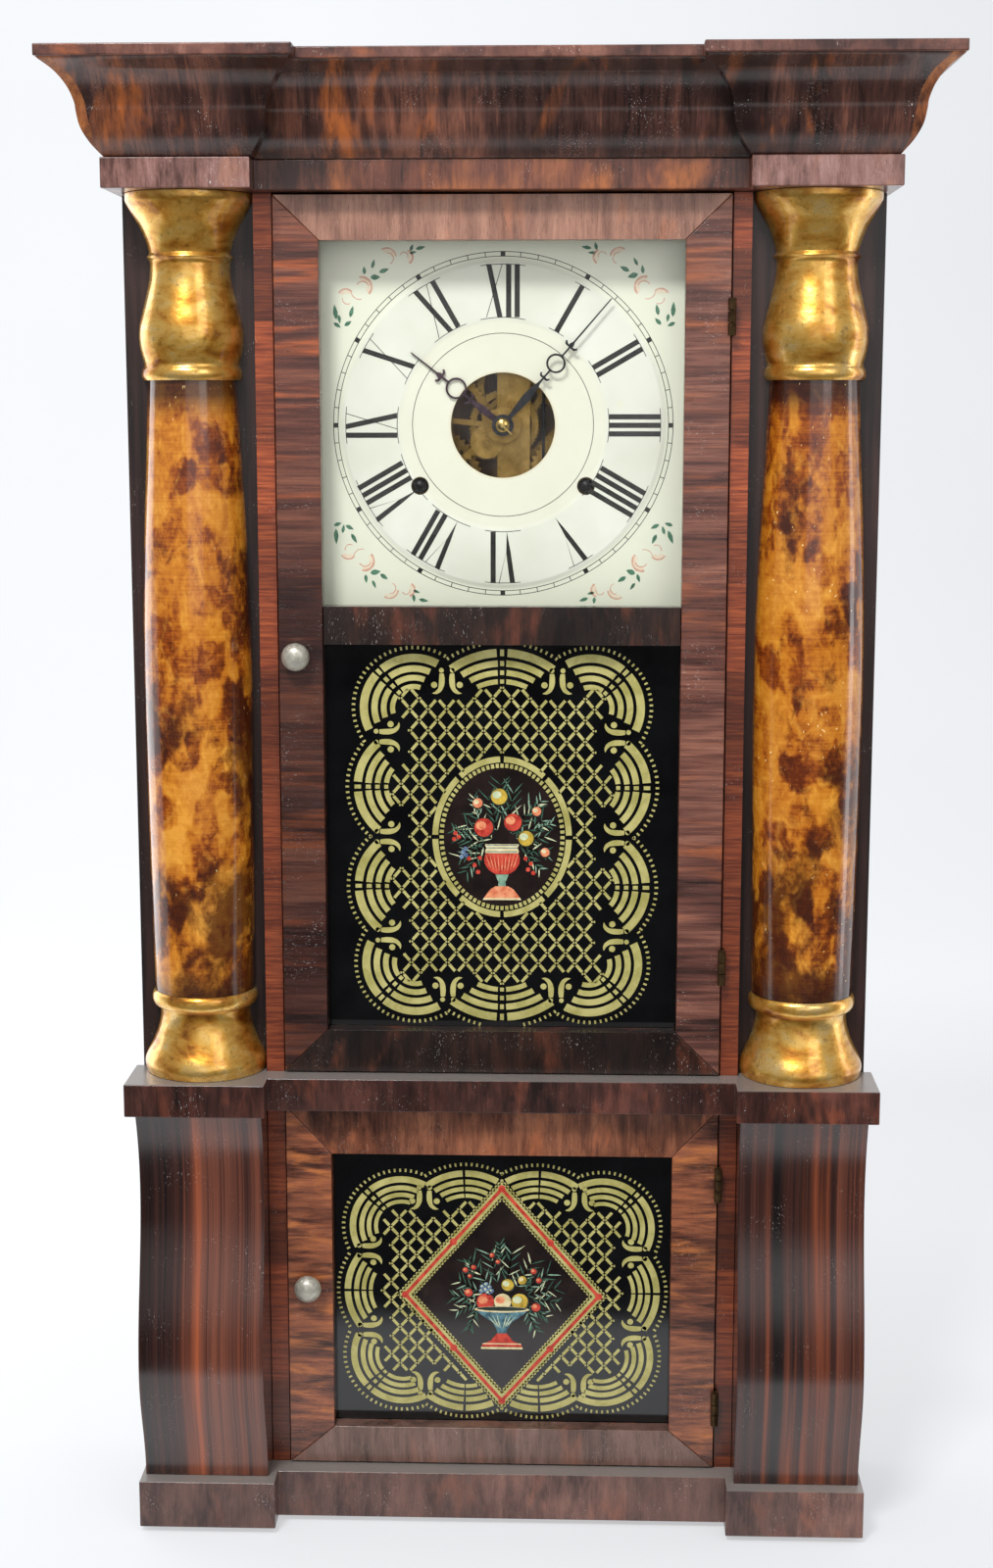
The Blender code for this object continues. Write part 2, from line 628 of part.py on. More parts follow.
def turn_knob(name, place, frame):
    """Domed knob outside, spindle through the stile and, behind it, a turn button standing undone."""
    across, height = place
    face = -DOOR_Y
    back = -(DOOR_Y + DOOR_THICK)
    profile = [(0, face + KNOB_REACH), (KNOB_RADIUS * 0.55, face + KNOB_REACH - 0.0009),
               (KNOB_RADIUS * 0.9, face + KNOB_REACH - 0.0030), (KNOB_RADIUS, face + KNOB_REACH - 0.0058),
               (KNOB_RADIUS * 0.8, face + KNOB_REACH - 0.0082), (KNOB_NECK, face + 0.0036),
               (KNOB_NECK + 0.0012, face + GAP), (SPINDLE_RADIUS, face + GAP), (SPINDLE_RADIUS, back - 0.0032),
               (0, back - 0.0032)]
    knob = turned(name, profile, (across, 0, height), "pewter", 12, along="Y")
    reach_back = DOOR_Y + DOOR_THICK + GAP
    cut(knob, box(f"{name}_button", (across - CATCH_WIDTH / 2, reach_back, height - CATCH_WIDTH / 2),
                  (across + CATCH_WIDTH / 2, reach_back + CATCH_THICK, height + CATCH_LENGTH),
                  collection=cutters), "UNION")
    cut(frame, placed(f"{name}_bore", rod_mesh((across, DOOR_Y - PAST, height),
                                               (across, DOOR_Y + DOOR_THICK + PAST, height),
                                               SPINDLE_RADIUS + RUNNING), "pewter", cutters))


def hinge(name, height):
    """Butt hinge: the fixed leaf carries the pin and the outer knuckles, the door's leaf the middle one."""
    third = HINGE_LENGTH / 3
    base = height - HINGE_LENGTH / 2
    fixed_low = HINGE_X + GAP
    moving_low = HINGE_X - GAP - LEAF_THICK
    back = HINGE_Y + LEAF_WIDTH
    clear = KNUCKLE_RADIUS + RUNNING
    pieces = [box_mesh((fixed_low, HINGE_Y - GAP, base), (fixed_low + LEAF_THICK, back, base + HINGE_LENGTH)),
              rod_mesh((HINGE_X, HINGE_Y, base), (HINGE_X, HINGE_Y, base + third), KNUCKLE_RADIUS, 8),
              rod_mesh((HINGE_X, HINGE_Y, base + 2 * third), (HINGE_X, HINGE_Y, base + 3 * third), KNUCKLE_RADIUS, 8)]
    fixed = joined(f"{name}_fixed_leaf", pieces, "brass")
    gap_low = (HINGE_X - clear, HINGE_Y - clear, base + third - RUNNING / 4)
    gap_high = (HINGE_X + clear, HINGE_Y + clear, base + 2 * third + RUNNING / 4)
    cut(fixed, box(f"{name}_knuckle_gap", gap_low, gap_high, collection=cutters))
    cut(fixed, placed(f"{name}_pin", rod_mesh((HINGE_X, HINGE_Y, base + 0.001),
                                              (HINGE_X, HINGE_Y, base + HINGE_LENGTH - 0.001), PIN_RADIUS, 6),
                      "brass", cutters), "UNION")
    middle_low = base + third + RUNNING
    middle_high = base + 2 * third - RUNNING
    pieces = [box_mesh((moving_low, HINGE_Y - GAP, base), (moving_low + LEAF_THICK, back, base + HINGE_LENGTH)),
              rod_mesh((HINGE_X, HINGE_Y, middle_low), (HINGE_X, HINGE_Y, middle_high), KNUCKLE_RADIUS, 8)]
    moving = joined(f"{name}_door_leaf", pieces, "brass")
    for number, (low, high) in enumerate(((base - PAST, middle_low), (middle_high, base + HINGE_LENGTH + PAST))):
        cut(moving, box(f"{name}_clearance_{number}", (HINGE_X - clear, HINGE_Y - clear, low),
                        (HINGE_X + clear, HINGE_Y + clear, high), collection=cutters))
    cut(moving, placed(f"{name}_bore", rod_mesh((HINGE_X, HINGE_Y, base - PAST),
                                                (HINGE_X, HINGE_Y, base + HINGE_LENGTH + PAST),
                                                PIN_RADIUS + RUNNING, 6), "brass", cutters))


def doors():
    upper_base = SHELF_TOP + DOOR_RISE
    upper_top = FRIEZE_BASE - DOOR_RISE - GAP
    lower_base = PLINTH_TOP + DOOR_RISE
    lower_top = SHELF_BASE - DOOR_RISE - GAP
    dial_opening = (-UPPER_OPENING_HALF, UPPER_OPENING_HALF, DIAL_OPENING_BASE, DIAL_OPENING_TOP)
    tablet_opening = (-UPPER_OPENING_HALF, UPPER_OPENING_HALF, TABLET_OPENING_BASE, TABLET_OPENING_TOP)
    lower_opening = (-LOWER_OPENING_HALF, LOWER_OPENING_HALF, LOWER_OPENING_BASE, LOWER_OPENING_TOP)
    upper = door_frame("upper_door_frame", DOOR_HALF, upper_base, upper_top, [dial_opening, tablet_opening],
                       UPPER_HINGES)
    lower = door_frame("lower_door_frame", DOOR_HALF, lower_base, lower_top, [lower_opening], LOWER_HINGES)
    pane("dial_glass", dial_opening, "clear_glass")
    pane("upper_tablet", tablet_opening, "black_glass")
    pane("lower_tablet", lower_opening, "black_glass")
    turn_knob("upper_knob", UPPER_KNOB, upper)
    turn_knob("lower_knob", LOWER_KNOB, lower)
    for name, height in zip(("upper_door_top_hinge", "upper_door_low_hinge", "lower_door_top_hinge",
                             "lower_door_low_hinge"), UPPER_HINGES + LOWER_HINGES):
        hinge(name, height)


case_box()
backing_panels()
stepped_member("plinth", PLINTH_HALF, PLINTH_INNER, PLINTH_BREAK, 0, PLINTH_TOP)
stepped_member("shelf", SHELF_HALF, SHELF_INNER, SHELF_BREAK, SHELF_BASE, SHELF_TOP)
frieze()
cornice()
pilasters()
columns()
doors()


# Dial, with its aperture and winding holes
def at(place):
    return DIAL_X + place[0], DIAL_Z + place[1]


def dial():
    rim = rectangle(DIAL_X - DIAL_HALF, DIAL_X + DIAL_HALF, DIAL_Z - DIAL_HALF_HEIGHT, DIAL_Z + DIAL_HALF_HEIGHT)
    holes = [circle(at(CENTRE), DIAL_APERTURE, 32)]
    holes += [circle(at(place), WINDING_HOLE, 16) for place in (TIME_WINDING, STRIKE_WINDING)]
    prism("dial_plate", [rim] + holes, DIAL_Y, DIAL_Y + DIAL_THICK, "XZ", "dial_paint")


def ribbon(path, width):
    """Outline of a strip of even width along a path."""
    half = width / 2
    left, right = [], []
    for number, point in enumerate(path):
        before = Vector(path[max(number - 1, 0)])
        after = Vector(path[min(number + 1, len(path) - 1)])
        run = (after - before).normalized()
        side = Vector((-run.y, run.x)) * half
        left.append(tuple(Vector(point) + side))
        right.append(tuple(Vector(point) - side))
    return left + right[::-1]


def polar(middle, radius, degrees_clockwise):
    angle = degrees_clockwise * DEG
    return middle[0] + radius * math.sin(angle), middle[1] + radius * math.cos(angle)


def hand(name, front, length, ring_at, angle, bore):
    """Pierced hand: bored hub, swelling blade, ring between two small crossbars, and a thin point."""
    middle = at(CENTRE)
    back = front + HAND_THICK
    stem_end = ring_at - HAND_RING_RADIUS
    hub = prism_mesh([circle(middle, HAND_HUB_RADIUS), circle(middle, bore)], front, back, "XZ")
    stem_start = (bore + HAND_HUB_RADIUS) / 2
    stem = [polar(middle, radius, angle) for radius in (stem_start, stem_end * 0.62, stem_end + HAND_BAR / 4)]
    base_half, belly_half = 0.0009, 0.0016
    across = Vector(polar((0, 0), 1.0, angle + 90))
    outline = [tuple(Vector(stem[0]) - across * base_half), tuple(Vector(stem[1]) - across * belly_half),
               tuple(Vector(stem[2]) - across * HAND_BAR / 2), tuple(Vector(stem[2]) + across * HAND_BAR / 2),
               tuple(Vector(stem[1]) + across * belly_half), tuple(Vector(stem[0]) + across * base_half)]
    ring_middle = polar(middle, ring_at, angle)
    ring = prism_mesh([circle(ring_middle, HAND_RING_RADIUS + HAND_BAR / 2, 16),
                       circle(ring_middle, HAND_RING_RADIUS - HAND_BAR / 2, 16)], front, back, "XZ")
    point = [polar(middle, ring_at + HAND_RING_RADIUS - HAND_BAR / 4, angle), polar(middle, length, angle)]
    inset = HAND_THICK / 12
    meshes = [hub, prism_mesh([outline], front + inset, back - inset, "XZ"), ring,
              prism_mesh([ribbon(point, HAND_BAR)], front + 2 * inset, back - 2 * inset, "XZ")]
    for side in (-1, 1):
        cross = polar(middle, ring_at + side * (HAND_RING_RADIUS + HAND_CROSS_GAP), angle)
        bar = [polar(cross, HAND_CROSS_HALF, angle - 90), polar(cross, HAND_CROSS_HALF, angle + 90)]
        meshes.append(prism_mesh([ribbon(bar, HAND_BAR * 0.8)], front + 3 * inset, back - 3 * inset, "XZ"))
    joined(name, meshes, "steel")


# Wheels and pinions
def module_between(first, first_teeth, second, second_teeth):
    return 2 * math.dist(first, second) / (first_teeth + second_teeth)


def bearing(start, end):
    return math.atan2(end[1] - start[1], end[0] - start[0])


def toothed(middle, teeth, module, phase, flanks=((-0.5, False), (0.0, True))):
    """Pointed cut teeth, one of them centred on the phase angle. Flanks are (share of pitch, is it a tip)."""
    pitch = 2 * math.pi / teeth
    root = module * (teeth / 2 - DEDENDUM)
    tip = module * (teeth / 2 + ADDENDUM)
    outline = []
    for number in range(teeth):
        angle = phase + number * pitch
        for turn, is_tip in flanks:
            radius = tip if is_tip else root
            outline.append((middle[0] + radius * math.cos(angle + turn * pitch),
                            middle[1] + radius * math.sin(angle + turn * pitch)))
    return outline


def crossings(middle, outer, inner, spokes, phase):
    """Openings between the spokes of a crossed-out wheel."""
    openings = []
    for number in range(spokes):
        start = phase + number * 2 * math.pi / spokes
        end = start + 2 * math.pi / spokes
        outer_turn = math.asin(SPOKE / 2 / outer)
        inner_turn = math.asin(SPOKE / 2 / inner)
        ring = [(outer, start + outer_turn + (end - start - 2 * outer_turn) * step / 4) for step in range(5)]
        ring += [(inner, end - inner_turn - (end - start - 2 * inner_turn) * step) for step in range(2)]
        openings.append([(middle[0] + radius * math.cos(angle), middle[1] + radius * math.sin(angle))
                         for radius, angle in ring])
    return openings


def crossed_wheel(place, teeth, module, phase, front, thick, spokes=4, spoke_phase=45 * DEG, bore=None):
    middle = at(place)
    outlines = [toothed(middle, teeth, module, phase)]
    outlines += crossings(middle, module * (teeth / 2 - DEDENDUM) - RIM, HUB_RADIUS, spokes, spoke_phase)
    if bore:
        outlines.append(circle(middle, bore))
    return prism_mesh(outlines, front, front + thick, "XZ")


def lantern_pins(place, pins, module, facing, front, back):
    """Trundles of a lantern pinion, with a gap turned to face the wheel that drives it."""
    middle = at(place)
    made = bmesh.new()
    for across, up in circle(middle, module * pins / 2, pins, facing + math.pi / pins):
        pin = rod_mesh((across, front, up), (across, back, up), module * 0.30, 4)
        made.from_mesh(pin)
        bpy.data.meshes.remove(pin)
    mesh = bpy.data.meshes.new("pins")
    made.to_mesh(mesh)
    made.free()
    return mesh


def arbor(name, place, shapes, look="brass", front=None, back=None, sectors=8):
    """Turned arbor between the plates. Each shape is (front, back, radius), listed from the front."""
    front = FRONT_PLATE_Y + GAP if front is None else front
    back = BACK_PLATE_Y + PLATE_THICK - GAP if back is None else back
    shoulder_front = FRONT_PLATE_Y + PLATE_THICK + RUNNING
    shoulder_back = BACK_PLATE_Y - RUNNING
    profile = [(0, -front)]
    if front > FRONT_PLATE_Y:
        profile += [(PIVOT_RADIUS, -front), (PIVOT_RADIUS, -shoulder_front)]
        profile.append((ARBOR_RADIUS, -shoulder_front))
    else:
        profile.append((ARBOR_RADIUS, -front))
    for start, end, radius in shapes:
        profile += [(ARBOR_RADIUS, -start), (radius, -start), (radius, -end), (ARBOR_RADIUS, -end)]
    profile += [(ARBOR_RADIUS, -shoulder_back), (PIVOT_RADIUS, -shoulder_back), (PIVOT_RADIUS, -back), (0, -back)]
    across, up = at(place)
    return turned(name, profile, (across, 0, up), look, sectors, along="Y")


def collets(front, thick, module, pins):
    """Two end plates of a lantern pinion either side of a wheel that starts at front."""
    radius = module * (pins / 2 + 0.75)
    room = 0.0012
    return [(front - room - 0.0008, front - room, radius),
            (front + thick + room, front + thick + room + 0.0008, radius)]


def fuse(body, name, mesh, look="brass"):
    return cut(body, placed(name, mesh, look, cutters), "UNION")


def going_train():
    great = module_between(TIME_WINDING, GREAT_TEETH, TIME_SECOND, GREAT_PINS)
    second = module_between(TIME_SECOND, SECOND_TEETH, CENTRE, SECOND_PINS)
    centre = module_between(CENTRE, CENTRE_TEETH, THIRD, TRAIN_PINS)
    third = module_between(THIRD, THIRD_TEETH, ESCAPE, TRAIN_PINS)
    bore = WINDING_ARBOR + RUNNING
    placed("time_great_wheel", crossed_wheel(TIME_WINDING, GREAT_TEETH, great, bearing(TIME_WINDING, TIME_SECOND),
                                             FRONT_LAYER, GREAT_THICK, bore=bore), "brass")

    discs = collets(FRONT_LAYER, GREAT_THICK, great, GREAT_PINS)
    wheel = arbor("time_second_wheel", TIME_SECOND, discs)
    fuse(wheel, "second_pins", lantern_pins(TIME_SECOND, GREAT_PINS, great, bearing(TIME_SECOND, TIME_WINDING),
                                            discs[0][0] + 0.0002, discs[1][1] - 0.0002))
    fuse(wheel, "second_disc", crossed_wheel(TIME_SECOND, SECOND_TEETH, second, bearing(TIME_SECOND, CENTRE),
                                             BACK_LAYER, WHEEL_THICK))

    discs = collets(BACK_LAYER, WHEEL_THICK, second, SECOND_PINS)
    washer = (MINUTE_HAND_Y - 0.0016, MINUTE_HAND_Y - GAP, 0.0036)
    wheel = arbor("minute_arbor", CENTRE, [washer] + discs, front=MINUTE_HAND_Y - 0.0034)
    fuse(wheel, "centre_pins", lantern_pins(CENTRE, SECOND_PINS, second, bearing(CENTRE, TIME_SECOND),
                                            discs[0][0] + 0.0002, discs[1][1] - 0.0002))
    fuse(wheel, "centre_disc", crossed_wheel(CENTRE, CENTRE_TEETH, centre, bearing(CENTRE, THIRD),
                                             CENTRE_LAYER, WHEEL_THICK))
    cannon = module_between(CENTRE, CANNON_TEETH, MOTION, MINUTE_WHEEL_TEETH)
    fuse(wheel, "cannon_pinion", prism_mesh([toothed(at(CENTRE), CANNON_TEETH, cannon, bearing(CENTRE, MOTION),
                                                    NARROW_TEETH)],
                                            MINUTE_LAYER - 0.0002, MINUTE_LAYER + 0.0012, "XZ"))

    discs = collets(CENTRE_LAYER, WHEEL_THICK, centre, TRAIN_PINS)
    wheel = arbor("third_wheel", THIRD, discs)
    fuse(wheel, "third_pins", lantern_pins(THIRD, TRAIN_PINS, centre, bearing(THIRD, CENTRE),
                                           discs[0][0] + 0.0002, discs[1][1] - 0.0002))
    fuse(wheel, "third_disc", crossed_wheel(THIRD, THIRD_TEETH, third, bearing(THIRD, ESCAPE),
                                            THIRD_LAYER, WHEEL_THICK))

    discs = collets(THIRD_LAYER, WHEEL_THICK, third, TRAIN_PINS)
    wheel = arbor("escape_wheel", ESCAPE, discs)
    fuse(wheel, "escape_pins", lantern_pins(ESCAPE, TRAIN_PINS, third, bearing(ESCAPE, THIRD),
                                            discs[0][0] + 0.0002, discs[1][1] - 0.0002))
    pitch = 2 * math.pi / ESCAPE_TEETH
    middle = at(ESCAPE)
    teeth = []
    for number in range(ESCAPE_TEETH):
        start = math.pi / 2 + pitch / 2 + number * pitch
        for radius, turn in ((ESCAPE_RADIUS, 0.0), (ESCAPE_RADIUS - 0.0030, 0.35)):
            teeth.append((middle[0] + radius * math.cos(start + turn * pitch),
                          middle[1] + radius * math.sin(start + turn * pitch)))
    windows = crossings(middle, ESCAPE_RADIUS - 0.0030 - RIM / 2, HUB_RADIUS * 0.85, 4, 20 * DEG)
    fuse(wheel, "escape_disc", prism_mesh([teeth] + windows, FRONT_LAYER, FRONT_LAYER + WHEEL_THICK * 0.7, "XZ"))


def motion_work():
    slow = module_between(CENTRE, HOUR_WHEEL_TEETH, MOTION, MINUTE_PINION_TEETH)
    quick = module_between(CENTRE, CANNON_TEETH, MOTION, MINUTE_WHEEL_TEETH)
    gap_phase = bearing(MOTION, CENTRE) + math.pi / MINUTE_WHEEL_TEETH
    bore = ARBOR_RADIUS + RUNNING
    motion = placed("motion_wheel", prism_mesh([toothed(at(MOTION), MINUTE_WHEEL_TEETH, quick, gap_phase,
                                                       NARROW_TEETH),
                                                circle(at(MOTION), bore)],
                                               MINUTE_LAYER, MINUTE_LAYER + 0.0010, "XZ"), "brass")
    fuse(motion, "motion_pinion", prism_mesh([toothed(at(MOTION), MINUTE_PINION_TEETH, slow, bearing(MOTION, CENTRE),
                                                      NARROW_TEETH),
                                              circle(at(MOTION), bore)],
                                             HOUR_LAYER - 0.0002, MINUTE_LAYER + 0.0001, "XZ"))
    gap_phase = bearing(CENTRE, MOTION) + math.pi / HOUR_WHEEL_TEETH
    pipe_bore = ARBOR_RADIUS + RUNNING
    pipe = pipe_bore + 0.0009
    hour = placed("hour_wheel", prism_mesh([toothed(at(CENTRE), HOUR_WHEEL_TEETH, slow, gap_phase,
                                                    NARROW_TEETH),
                                            circle(at(CENTRE), pipe_bore)],
                                           HOUR_LAYER, HOUR_LAYER + 0.0010, "XZ"), "brass")
    fuse(hour, "hour_pipe", prism_mesh([circle(at(CENTRE), pipe), circle(at(CENTRE), pipe_bore)],
                                       HOUR_HAND_Y - 0.0008, HOUR_LAYER + 0.0005, "XZ"))
    hand("hour_hand", HOUR_HAND_Y, HOUR_HAND_LENGTH, HOUR_RING_AT, HOUR_ANGLE, pipe + GAP)
    hand("minute_hand", MINUTE_HAND_Y, MINUTE_HAND_LENGTH, MINUTE_RING_AT, MINUTE_ANGLE, ARBOR_RADIUS + GAP)


def striking_train():
    great = module_between(STRIKE_WINDING, GREAT_TEETH, STRIKE_SECOND, GREAT_PINS)
    placed("strike_great_wheel", crossed_wheel(STRIKE_WINDING, GREAT_TEETH, great,
                                               bearing(STRIKE_WINDING, STRIKE_SECOND), BACK_LAYER, GREAT_THICK,
                                               bore=WINDING_ARBOR + RUNNING), "brass")
    discs = collets(BACK_LAYER, GREAT_THICK, great, GREAT_PINS)
    wheel = arbor("strike_second_wheel", STRIKE_SECOND, discs)
    fuse(wheel, "strike_pins", lantern_pins(STRIKE_SECOND, GREAT_PINS, great,
                                            bearing(STRIKE_SECOND, STRIKE_WINDING),
                                            discs[0][0] + 0.0002, discs[1][1] - 0.0002))
    fuse(wheel, "strike_disc", crossed_wheel(STRIKE_SECOND, STRIKE_SECOND_TEETH, STRIKE_MODULE, 0,
                                             FRONT_LAYER, WHEEL_THICK, spoke_phase=-6 * DEG))
    across, up = at(HAMMER)
    hammer = arbor("hammer", HAMMER, [(HAMMER_Y - 0.0016, HAMMER_Y + 0.0016, 0.0020)], "steel")
    fuse(hammer, "hammer_rod", rod_mesh((across, HAMMER_Y, up), (across, HAMMER_Y, up - HAMMER_LENGTH),
                                        ROD_RADIUS, 6), "steel")
    fuse(hammer, "hammer_head", rod_mesh((across - HAMMER_HEAD_LENGTH / 2, HAMMER_Y, up - HAMMER_LENGTH),
                                         (across + HAMMER_HEAD_LENGTH / 2, HAMMER_Y, up - HAMMER_LENGTH),
                                         HAMMER_HEAD, 12), "steel")


def drums():
    for name, place in (("time_drum", TIME_WINDING), ("strike_drum", STRIKE_WINDING)):
        across, up = at(place)
        square_end = FRONT_PLATE_Y - RUNNING
        profile = [(0, -square_end), (WINDING_ARBOR, -square_end), (WINDING_ARBOR, -DRUM_FRONT),
                   (DRUM_FLANGE, -DRUM_FRONT), (DRUM_FLANGE, -DRUM_FRONT - FLANGE_THICK),
                   (DRUM_RADIUS, -DRUM_FRONT - FLANGE_THICK), (DRUM_RADIUS, -DRUM_BACK + FLANGE_THICK),
                   (DRUM_FLANGE, -DRUM_BACK + FLANGE_THICK), (DRUM_FLANGE, -DRUM_BACK),
                   (WINDING_ARBOR, -DRUM_BACK), (WINDING_ARBOR, -BACK_PLATE_Y + RUNNING),
                   (PIVOT_RADIUS, -BACK_PLATE_Y + RUNNING), (PIVOT_RADIUS, -BACK_PLATE_Y - PLATE_THICK + GAP),
                   (0, -BACK_PLATE_Y - PLATE_THICK + GAP)]
        drum = turned(name, profile, (across, 0, up), "pulley_wood", DRUM_SECTORS, along="Y")
        half = SQUARE / 2
        fuse(drum, f"{name}_square", box_mesh((across - half, SQUARE_Y, up - half),
                                              (across + half, square_end + 0.001, up + half)), "steel")


# Plates: riveted straps between rails, with pivot holes
def plate_outlines(pivots):
    sides = [rectangle(-PLATE_HALF + OUTER_STRAP, -SIDE_STRAP_OUTER, -PLATE_HALF + PLATE_RAIL, HAMMER[1] - 0.012),
             rectangle(SIDE_STRAP_OUTER, PLATE_HALF - OUTER_STRAP, -PLATE_HALF + PLATE_RAIL, HAMMER[1] - 0.012),
             [(-SIDE_STRAP_INNER, -PLATE_HALF + PLATE_RAIL), (STRAP_LEFT, -PLATE_HALF + PLATE_RAIL),
              (STRAP_LEFT, MOTION[1] - EAR), (MOTION[0] - EAR, MOTION[1] - EAR), (MOTION[0] - EAR, MOTION[1] + EAR),
              (STRAP_LEFT, MOTION[1] + EAR), (STRAP_LEFT, PLATE_HALF - PLATE_RAIL),
              (-SIDE_STRAP_INNER, PLATE_HALF - PLATE_RAIL)],
             rectangle(STRAP_RIGHT, SIDE_STRAP_INNER, -PLATE_HALF + PLATE_RAIL, COCK_BASE)]
    outlines = [rectangle(-PLATE_HALF, PLATE_HALF, -PLATE_HALF, PLATE_HALF)] + sides
    outlines = [[at(point) for point in outline] for outline in outlines]
    return outlines + [circle(at(place), radius, 8) for place, radius in pivots]


def movement_frame():
    verge = verge_place()
    pivot = PIVOT_RADIUS + RUNNING
    through = ARBOR_RADIUS + RUNNING
    winding = WINDING_ARBOR + RUNNING * 1.5
    common = [(TIME_SECOND, pivot), (STRIKE_SECOND, pivot), (THIRD, pivot), (ESCAPE, pivot), (HAMMER, pivot)]
    ends = [(CENTRE, through), (verge, through), (TIME_WINDING, winding), (STRIKE_WINDING, winding)]
    front = prism("front_plate", plate_outlines(common + ends), FRONT_PLATE_Y, FRONT_PLATE_Y + PLATE_THICK,
                  "XZ", "brass")
    across, up = at(MOTION)
    fuse(front, "motion_stud", rod_mesh((across, HOUR_LAYER - 0.0008, up), (across, FRONT_PLATE_Y + 0.0004, up),
                                        ARBOR_RADIUS, 8))
    across, up = at((ESCAPE[0], SUSPENSION_Z))
    fuse(front, "suspension_stud", rod_mesh((across, PENDULUM_Y - 0.0025, up), (across, FRONT_PLATE_Y + 0.0004, up),
                                            0.0012, 8), "brass")
    back = prism("back_plate", plate_outlines(common + [(place, pivot) for place, _ in ends]),
                 BACK_PLATE_Y, BACK_PLATE_Y + PLATE_THICK, "XZ", "brass")
    reach = PLATE_HALF - PILLAR_INSET
    for number, (across, up) in enumerate([(-reach, -reach), (reach, -reach), (-reach, reach), (reach, reach)]):
        across, up = at((across, up))
        fuse(back, f"pillar_{number}", rod_mesh((across, FRONT_PLATE_Y + PLATE_THICK + GAP, up),
                                                (across, BACK_PLATE_Y + 0.0004, up), PILLAR_RADIUS))


# Escapement and pendulum
def verge_place():
    return ESCAPE[0], ESCAPE[1] + ESCAPE_RADIUS / math.cos(PALLET_SPAN * DEG)


def escapement():
    place = verge_place()
    across, up = at(place)
    crutch_y = PENDULUM_Y + ROD_RADIUS + 0.0012
    verge = arbor("verge", place, [], "steel", front=crutch_y - 0.0005)
    tips = [polar(at(ESCAPE), ESCAPE_RADIUS + PALLET_CLEARANCE, side * PALLET_SPAN) for side in (-1, 1)]
    shoulders = [polar(at(ESCAPE), ESCAPE_RADIUS + 0.0050, side * (PALLET_SPAN - 4)) for side in (-1, 1)]
    path = [tips[0], shoulders[0], (across, up + 0.0012), shoulders[1], tips[1]]
    fuse(verge, "verge_anchor", prism_mesh([ribbon(path, 0.0011)], FRONT_LAYER, FRONT_LAYER + WHEEL_THICK * 0.7,
                                           "XZ"), "steel")
    low = up - CRUTCH_LENGTH
    fuse(verge, "crutch", rod_mesh((across, crutch_y, up + 0.0008), (across, crutch_y, low), 0.0005, 6), "steel")
    prong = ROD_RADIUS + RUNNING + 0.0005
    fork = [(across - prong - 0.0004, crutch_y + 0.0003), (across - prong - 0.0004, PENDULUM_Y - 0.0018),
            (across - prong + 0.0004, PENDULUM_Y - 0.0018), (across - prong + 0.0004, crutch_y - 0.0003),
            (across + prong - 0.0004, crutch_y - 0.0003), (across + prong - 0.0004, PENDULUM_Y - 0.0018),
            (across + prong + 0.0004, PENDULUM_Y - 0.0018), (across + prong + 0.0004, crutch_y + 0.0003)]
    fuse(verge, "crutch_fork", prism_mesh([fork], low - 0.0004, low + 0.0004, "XY"), "steel")


def pendulum():
    across, up = at((ESCAPE[0], SUSPENSION_Z))
    eye = [circle((across, up), 0.0026), circle((across, up), 0.0016)]
    rod = placed("pendulum_rod", prism_mesh(eye, PENDULUM_Y - 0.0010, PENDULUM_Y + 0.0010, "XZ"), "steel")
    bob_z = up - PENDULUM_LENGTH
    rod_end = bob_z + BOB_RADIUS * 0.5
    fuse(rod, "pendulum_wire", rod_mesh((across, PENDULUM_Y, up - 0.0020), (across, PENDULUM_Y, rod_end),
                                        ROD_RADIUS, 8), "steel")
    half = BOB_THICK / 2
    profile = [(0, -PENDULUM_Y + half), (BOB_RADIUS * 0.5, -PENDULUM_Y + half * 0.85),
               (BOB_RADIUS * 0.85, -PENDULUM_Y + half * 0.5), (BOB_RADIUS, -PENDULUM_Y),
               (BOB_RADIUS * 0.85, -PENDULUM_Y - half * 0.5), (BOB_RADIUS * 0.5, -PENDULUM_Y - half * 0.85),
               (0, -PENDULUM_Y - half)]
    bob = turned("pendulum_bob", profile, (across, 0, bob_z), "brass", 24, along="Y")
    cut(bob, placed("bob_socket", rod_mesh((across, PENDULUM_Y, rod_end - 2 * GAP),
                                           (across, PENDULUM_Y, bob_z + BOB_RADIUS * 2),
                                           ROD_RADIUS + GAP, 8), "steel", cutters))


# Boards that carry the dial and movement, gong, pulleys, cords and weights
def carriers():
    floor = BOTTOM_RISE + BOARD_THICK + GAP
    back = BACK_Y - BACK_THICK - GAP
    for name, side in (("left_partition", -1), ("right_partition", 1)):
        inner, outer = sorted((side * PARTITION_X, side * (PARTITION_X + PARTITION_THICK)))
        box(name, (inner, DIAL_Y + DIAL_THICK + GAP, floor), (outer, back, PARTITION_TOP), "pine")
    seat_top = DIAL_Z - PLATE_HALF - GAP
    seat = box("seatboard", (-PARTITION_X + GAP, PENDULUM_Y + 0.0022, seat_top - SEAT_THICK),
               (PARTITION_X - GAP, back, seat_top), "pine")
    across = at(HAMMER)[0]
    cut(seat, box("hammer_slot", (across - 0.0155, HAMMER_Y - 0.0020, seat_top - SEAT_THICK - PAST),
                  (across + 0.0025, HAMMER_Y + 0.0020, seat_top + PAST), collection=cutters))


